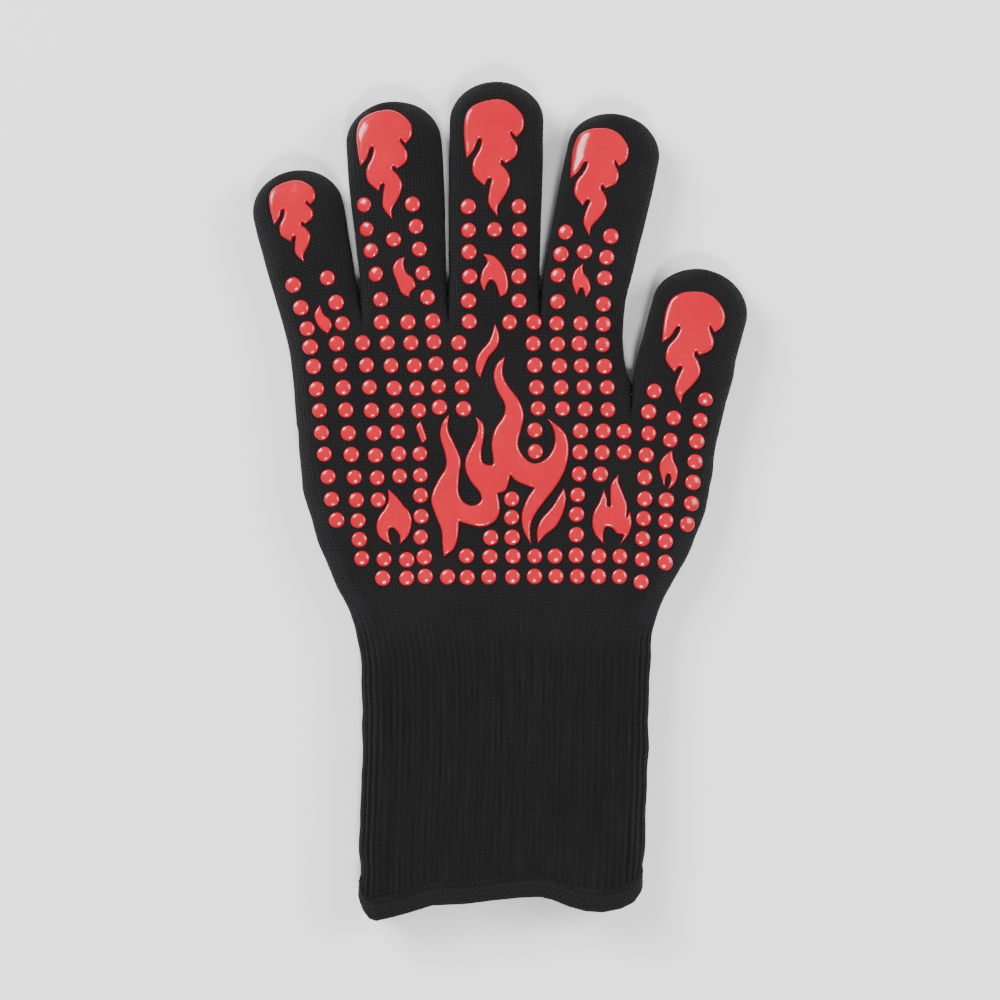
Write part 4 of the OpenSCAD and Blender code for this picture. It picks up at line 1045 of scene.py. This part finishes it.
def column(way, count):
    w = np.array(way, float)
    d = np.concatenate([[0], np.cumsum(np.linalg.norm(np.diff(w, axis=0), axis=1))])
    s = np.linspace(0, d[-1], count)
    return np.stack([np.interp(s, d, w[:, 0]), np.interp(s, d, w[:, 1])], 1)


for way, count in COLUMNS:
    for p in column(way, count):
        dot(float(p[0]), float(p[1]), 5.9, -1, 0.75, "back_dots")

PRINT_NODES = {
    ("palm", "palm_dots"): ["palm_grip_dots", "thumb_base_print"], ("palm", "palm_flame"): ["palm_flame_large", "palm_flames_small"],
    ("palm", "back_dots"): ["back_grip_dots"], ("palm", "back_flame"): ["back_flames"],
    ("thumb_end", "palm_flame"): ["thumb_palm_flame"], ("thumb_end", "back_flame"): ["thumb_back_flame"]}
for nm in NAMES:
    PRINT_NODES[(nm + "_root", "palm_dots")] = [nm + "_base_print"]
    PRINT_NODES[(nm + "_knuckle", "back_dots")] = [nm + "_mid_print"]
    PRINT_NODES[(nm + "_end", "palm_flame")] = [nm + "_palm_flame"]
    PRINT_NODES[(nm + "_end", "back_flame")] = [nm + "_back_flame"]
done = set()
for (part, kind), g in sorted(PRINT.items()):
    o = make_mesh(part + "_" + kind, np.vstack(g[0]), g[1], None, RED)
    blend_piece(o)
    for node in PRINT_NODES.get((part, kind), []):
        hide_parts(node)
        done.add(node)
print("print pieces", len(PRINT), "vertices", sum(g[3] for g in PRINT.values()))

# ------------------------------------------------------------------ the hem: a folded, overlocked band round the cuff's mouth
def cuff_loop(y_off, out, count):
    """Points round the cuff y_off above its mouth, drawn in or out by `out`."""
    pts, outs, phs = [], [], []
    for side in (1, -1):
        xi = np.linspace(0, 1, count + 1)
        xi = ease(xi, 1.0, 1.0)
        xi = xi if side > 0 else xi[::-1]
        if side < 0:
            xi = xi[1:-1]
        xm = LEFT(-160) + (RIGHT(-160) - LEFT(-160)) * xi
        y = ymouth(xm) + y_off
        lx, rx = LEFT(y), RIGHT(y)
        x = lx + (rx - lx) * xi
        s = quarter(x - lx, 9.0) * quarter(rx - x, 9.0)
        crown = 1 - 0.10 * (2 * xi - 1) ** 2
        s2 = s if side > 0 else np.power(s, 0.8)
        z = MID + side * 9.75 * s2 * crown
        pts.append(np.stack([x, y, z], 1))
        phs.append(xi * 48 * side)
    P = np.vstack(pts)
    T = np.roll(P, -1, axis=0) - np.roll(P, 1, axis=0)
    n = np.cross(T, [0, 1.0, 0])
    n /= np.maximum(np.linalg.norm(n, axis=1, keepdims=True), 1e-9)
    c = P.mean(0)
    if np.mean(((P - c) * n).sum(1)) < 0:
        n = -n
    return P + n * out, n


COUNT = 150
profile = [(9.4, -0.55), (9.3, -0.05), (8.6, 0.16), (7.4, 0.06), (6.2, 0.02), (5.0, 0.0), (3.6, -0.02), (2.2, 0.02), (1.1, 0.0), (0.35, -0.4), (0.0, -1.2), (0.0, -2.2),
           (0.35, -3.1), (1.2, -3.8), (2.8, -4.15), (5.4, -4.25), (7.6, -4.2), (8.8, -3.9), (9.3, -2.5)]
rings = []
for yo, ou in profile:
    P, n = cuff_loop(yo, ou, COUNT)
    ph = np.arange(len(P))
    ripple = 0.07 * np.cos(ph * 2 * math.pi / 3.0) + 0.09 * np.sin(P[:, 0] * 0.31 + yo * 0.4) + folds(P[:, 0], P[:, 1], 1)
    if ou > -1:
        P = P + n * ripple[:, None]
    rings.append(P)
R = np.array(rings)
m = R.shape[1]
faces, uvs = [], []
vlen = np.concatenate([[0], np.cumsum([math.hypot(profile[i + 1][0] - profile[i][0], profile[i + 1][1] - profile[i][1]) for i in range(len(profile) - 1)])])
for i in range(R.shape[0] - 1):
    for k in range(m):
        k2 = (k + 1) % m
        faces.append([i * m + k, (i + 1) * m + k, (i + 1) * m + k2, i * m + k2])
        uvs.append([(k * 0.32, vlen[i]), (k * 0.32, vlen[i + 1]), ((k + 1) * 0.32, vlen[i + 1]), ((k + 1) * 0.32, vlen[i])])
RV = R.reshape(-1, 3)
f0 = faces[5 * m + 40]
nn = np.cross(RV[f0[1]] - RV[f0[0]], RV[f0[2]] - RV[f0[1]])
if nn[2] < 0:
    faces, uvs = [f[::-1] for f in faces], [u[::-1] for u in uvs]
hem = make_mesh("cuff_hem_band", RV, faces, uvs, HEM)
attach(hem, "cuff")
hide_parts("cuff_hem")

# the row of stitches that holds the fold, and the overlock loops at the band's upper edge
verts, faces = [], []


def thread(a, b, up, r=0.28, arch=0.28, seg=6, ring=6):
    """One stitch: a short round thread from a to b that dips into the knit at both ends."""
    base = len(verts)
    a, b, up = np.array(a), np.array(b), np.array(up)
    d = (b - a) / np.linalg.norm(b - a)
    s = np.cross(d, up)
    for i in range(seg + 1):
        t = i / seg
        c = a + (b - a) * t + up * (arch * math.sin(math.pi * t) - 0.12)
        rr = r * (0.55 + 0.45 * math.sin(math.pi * t))
        for k in range(ring):
            w = 2 * math.pi * k / ring
            verts.append(c + (s * math.cos(w) + up * math.sin(w)) * rr)
    for i in range(seg):
        for k in range(ring):
            k2 = (k + 1) % ring
            faces.append([base + i * ring + k, base + (i + 1) * ring + k, base + (i + 1) * ring + k2, base + i * ring + k2])
    faces.append([base + k for k in range(ring)])
    faces.append([base + seg * ring + k for k in range(ring)][::-1])


P1, n1 = cuff_loop(7.6, 0.12, 96)
for k in range(len(P1)):
    a, b = P1[k], P1[(k + 1) % len(P1)]
    a2 = a + (b - a) * 0.10
    b2 = a + (b - a) * 0.86
    f = folds(np.array([a[0]]), np.array([a[1]]), 1)[0]
    thread(a2 + n1[k] * f, b2 + n1[k] * f, n1[k], r=0.30)
P2, n2 = cuff_loop(9.3, 0.05, 150)
P3, n3 = cuff_loop(8.2, 0.15, 150)
for k in range(len(P2)):
    f = folds(np.array([P2[k][0]]), np.array([P2[k][1]]), 1)[0]
    thread(P2[k] + n2[k] * f, P3[(k + 1) % len(P3)] + n3[k] * f, n2[k], r=0.22, arch=0.2, seg=4, ring=5)
st = make_mesh("cuff_hem_stitches", np.array(verts), faces, None, THREAD)
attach(st, "cuff")

# ------------------------------------------------------------------ floor, light and camera
def plain(name, colour, rough=0.9):
    N = Nodes(name)
    N.link(N.ramp(N.noise(3.0, 2.0), tuple(c * 0.985 for c in colour), colour), N.bsdf.inputs["Base Color"])
    N.bsdf.inputs["Roughness"].default_value = rough
    N.bsdf.inputs["Specular IOR Level"].default_value = 0.1
    return N.m


bpy.ops.mesh.primitive_plane_add(size=12, location=(0, 0, -0.0003))
floor = bpy.context.object
floor.name = "floor"
floor.data.materials.append(plain("pale_floor", (0.90, 0.90, 0.905)))

world = bpy.data.worlds.new("studio")
bpy.context.scene.world = world
world.use_nodes = True
world.node_tree.nodes["Background"].inputs[0].default_value = (1, 1, 1, 1)
world.node_tree.nodes["Background"].inputs[1].default_value = 0.42


def area(name, loc, target, size, power, shape="RECTANGLE", size_y=None):
    l = bpy.data.lights.new(name, "AREA")
    l.shape = shape
    l.size = size
    if size_y:
        l.size_y = size_y
    l.energy = power
    o = bpy.data.objects.new(name, l)
    o.location = loc
    o.rotation_mode = "QUATERNION"
    o.rotation_quaternion = (Vector(target) - Vector(loc)).to_track_quat("-Z", "Y")
    bpy.context.scene.collection.objects.link(o)
    return o


area("key", (-1.05, 0.85, 1.05), (0, 0, 0), 0.8, 46, size_y=0.8)
area("fill", (1.15, 0.25, 0.95), (0, 0, 0), 0.8, 22, size_y=0.8)
area("front", (0.08, -0.66, 1.12), (0, 0, 0), 0.26, 13, size_y=0.24)

cam = bpy.data.cameras.new("camera")
cam.lens = 90
cam.sensor_width = 36
co = bpy.data.objects.new("camera", cam)
height = 0.400
co.location = (0.0, 0.0, height / (36 / 90) + 0.01)
co.rotation_euler = (0, 0, 0)
bpy.context.scene.collection.objects.link(co)
bpy.context.scene.camera = co
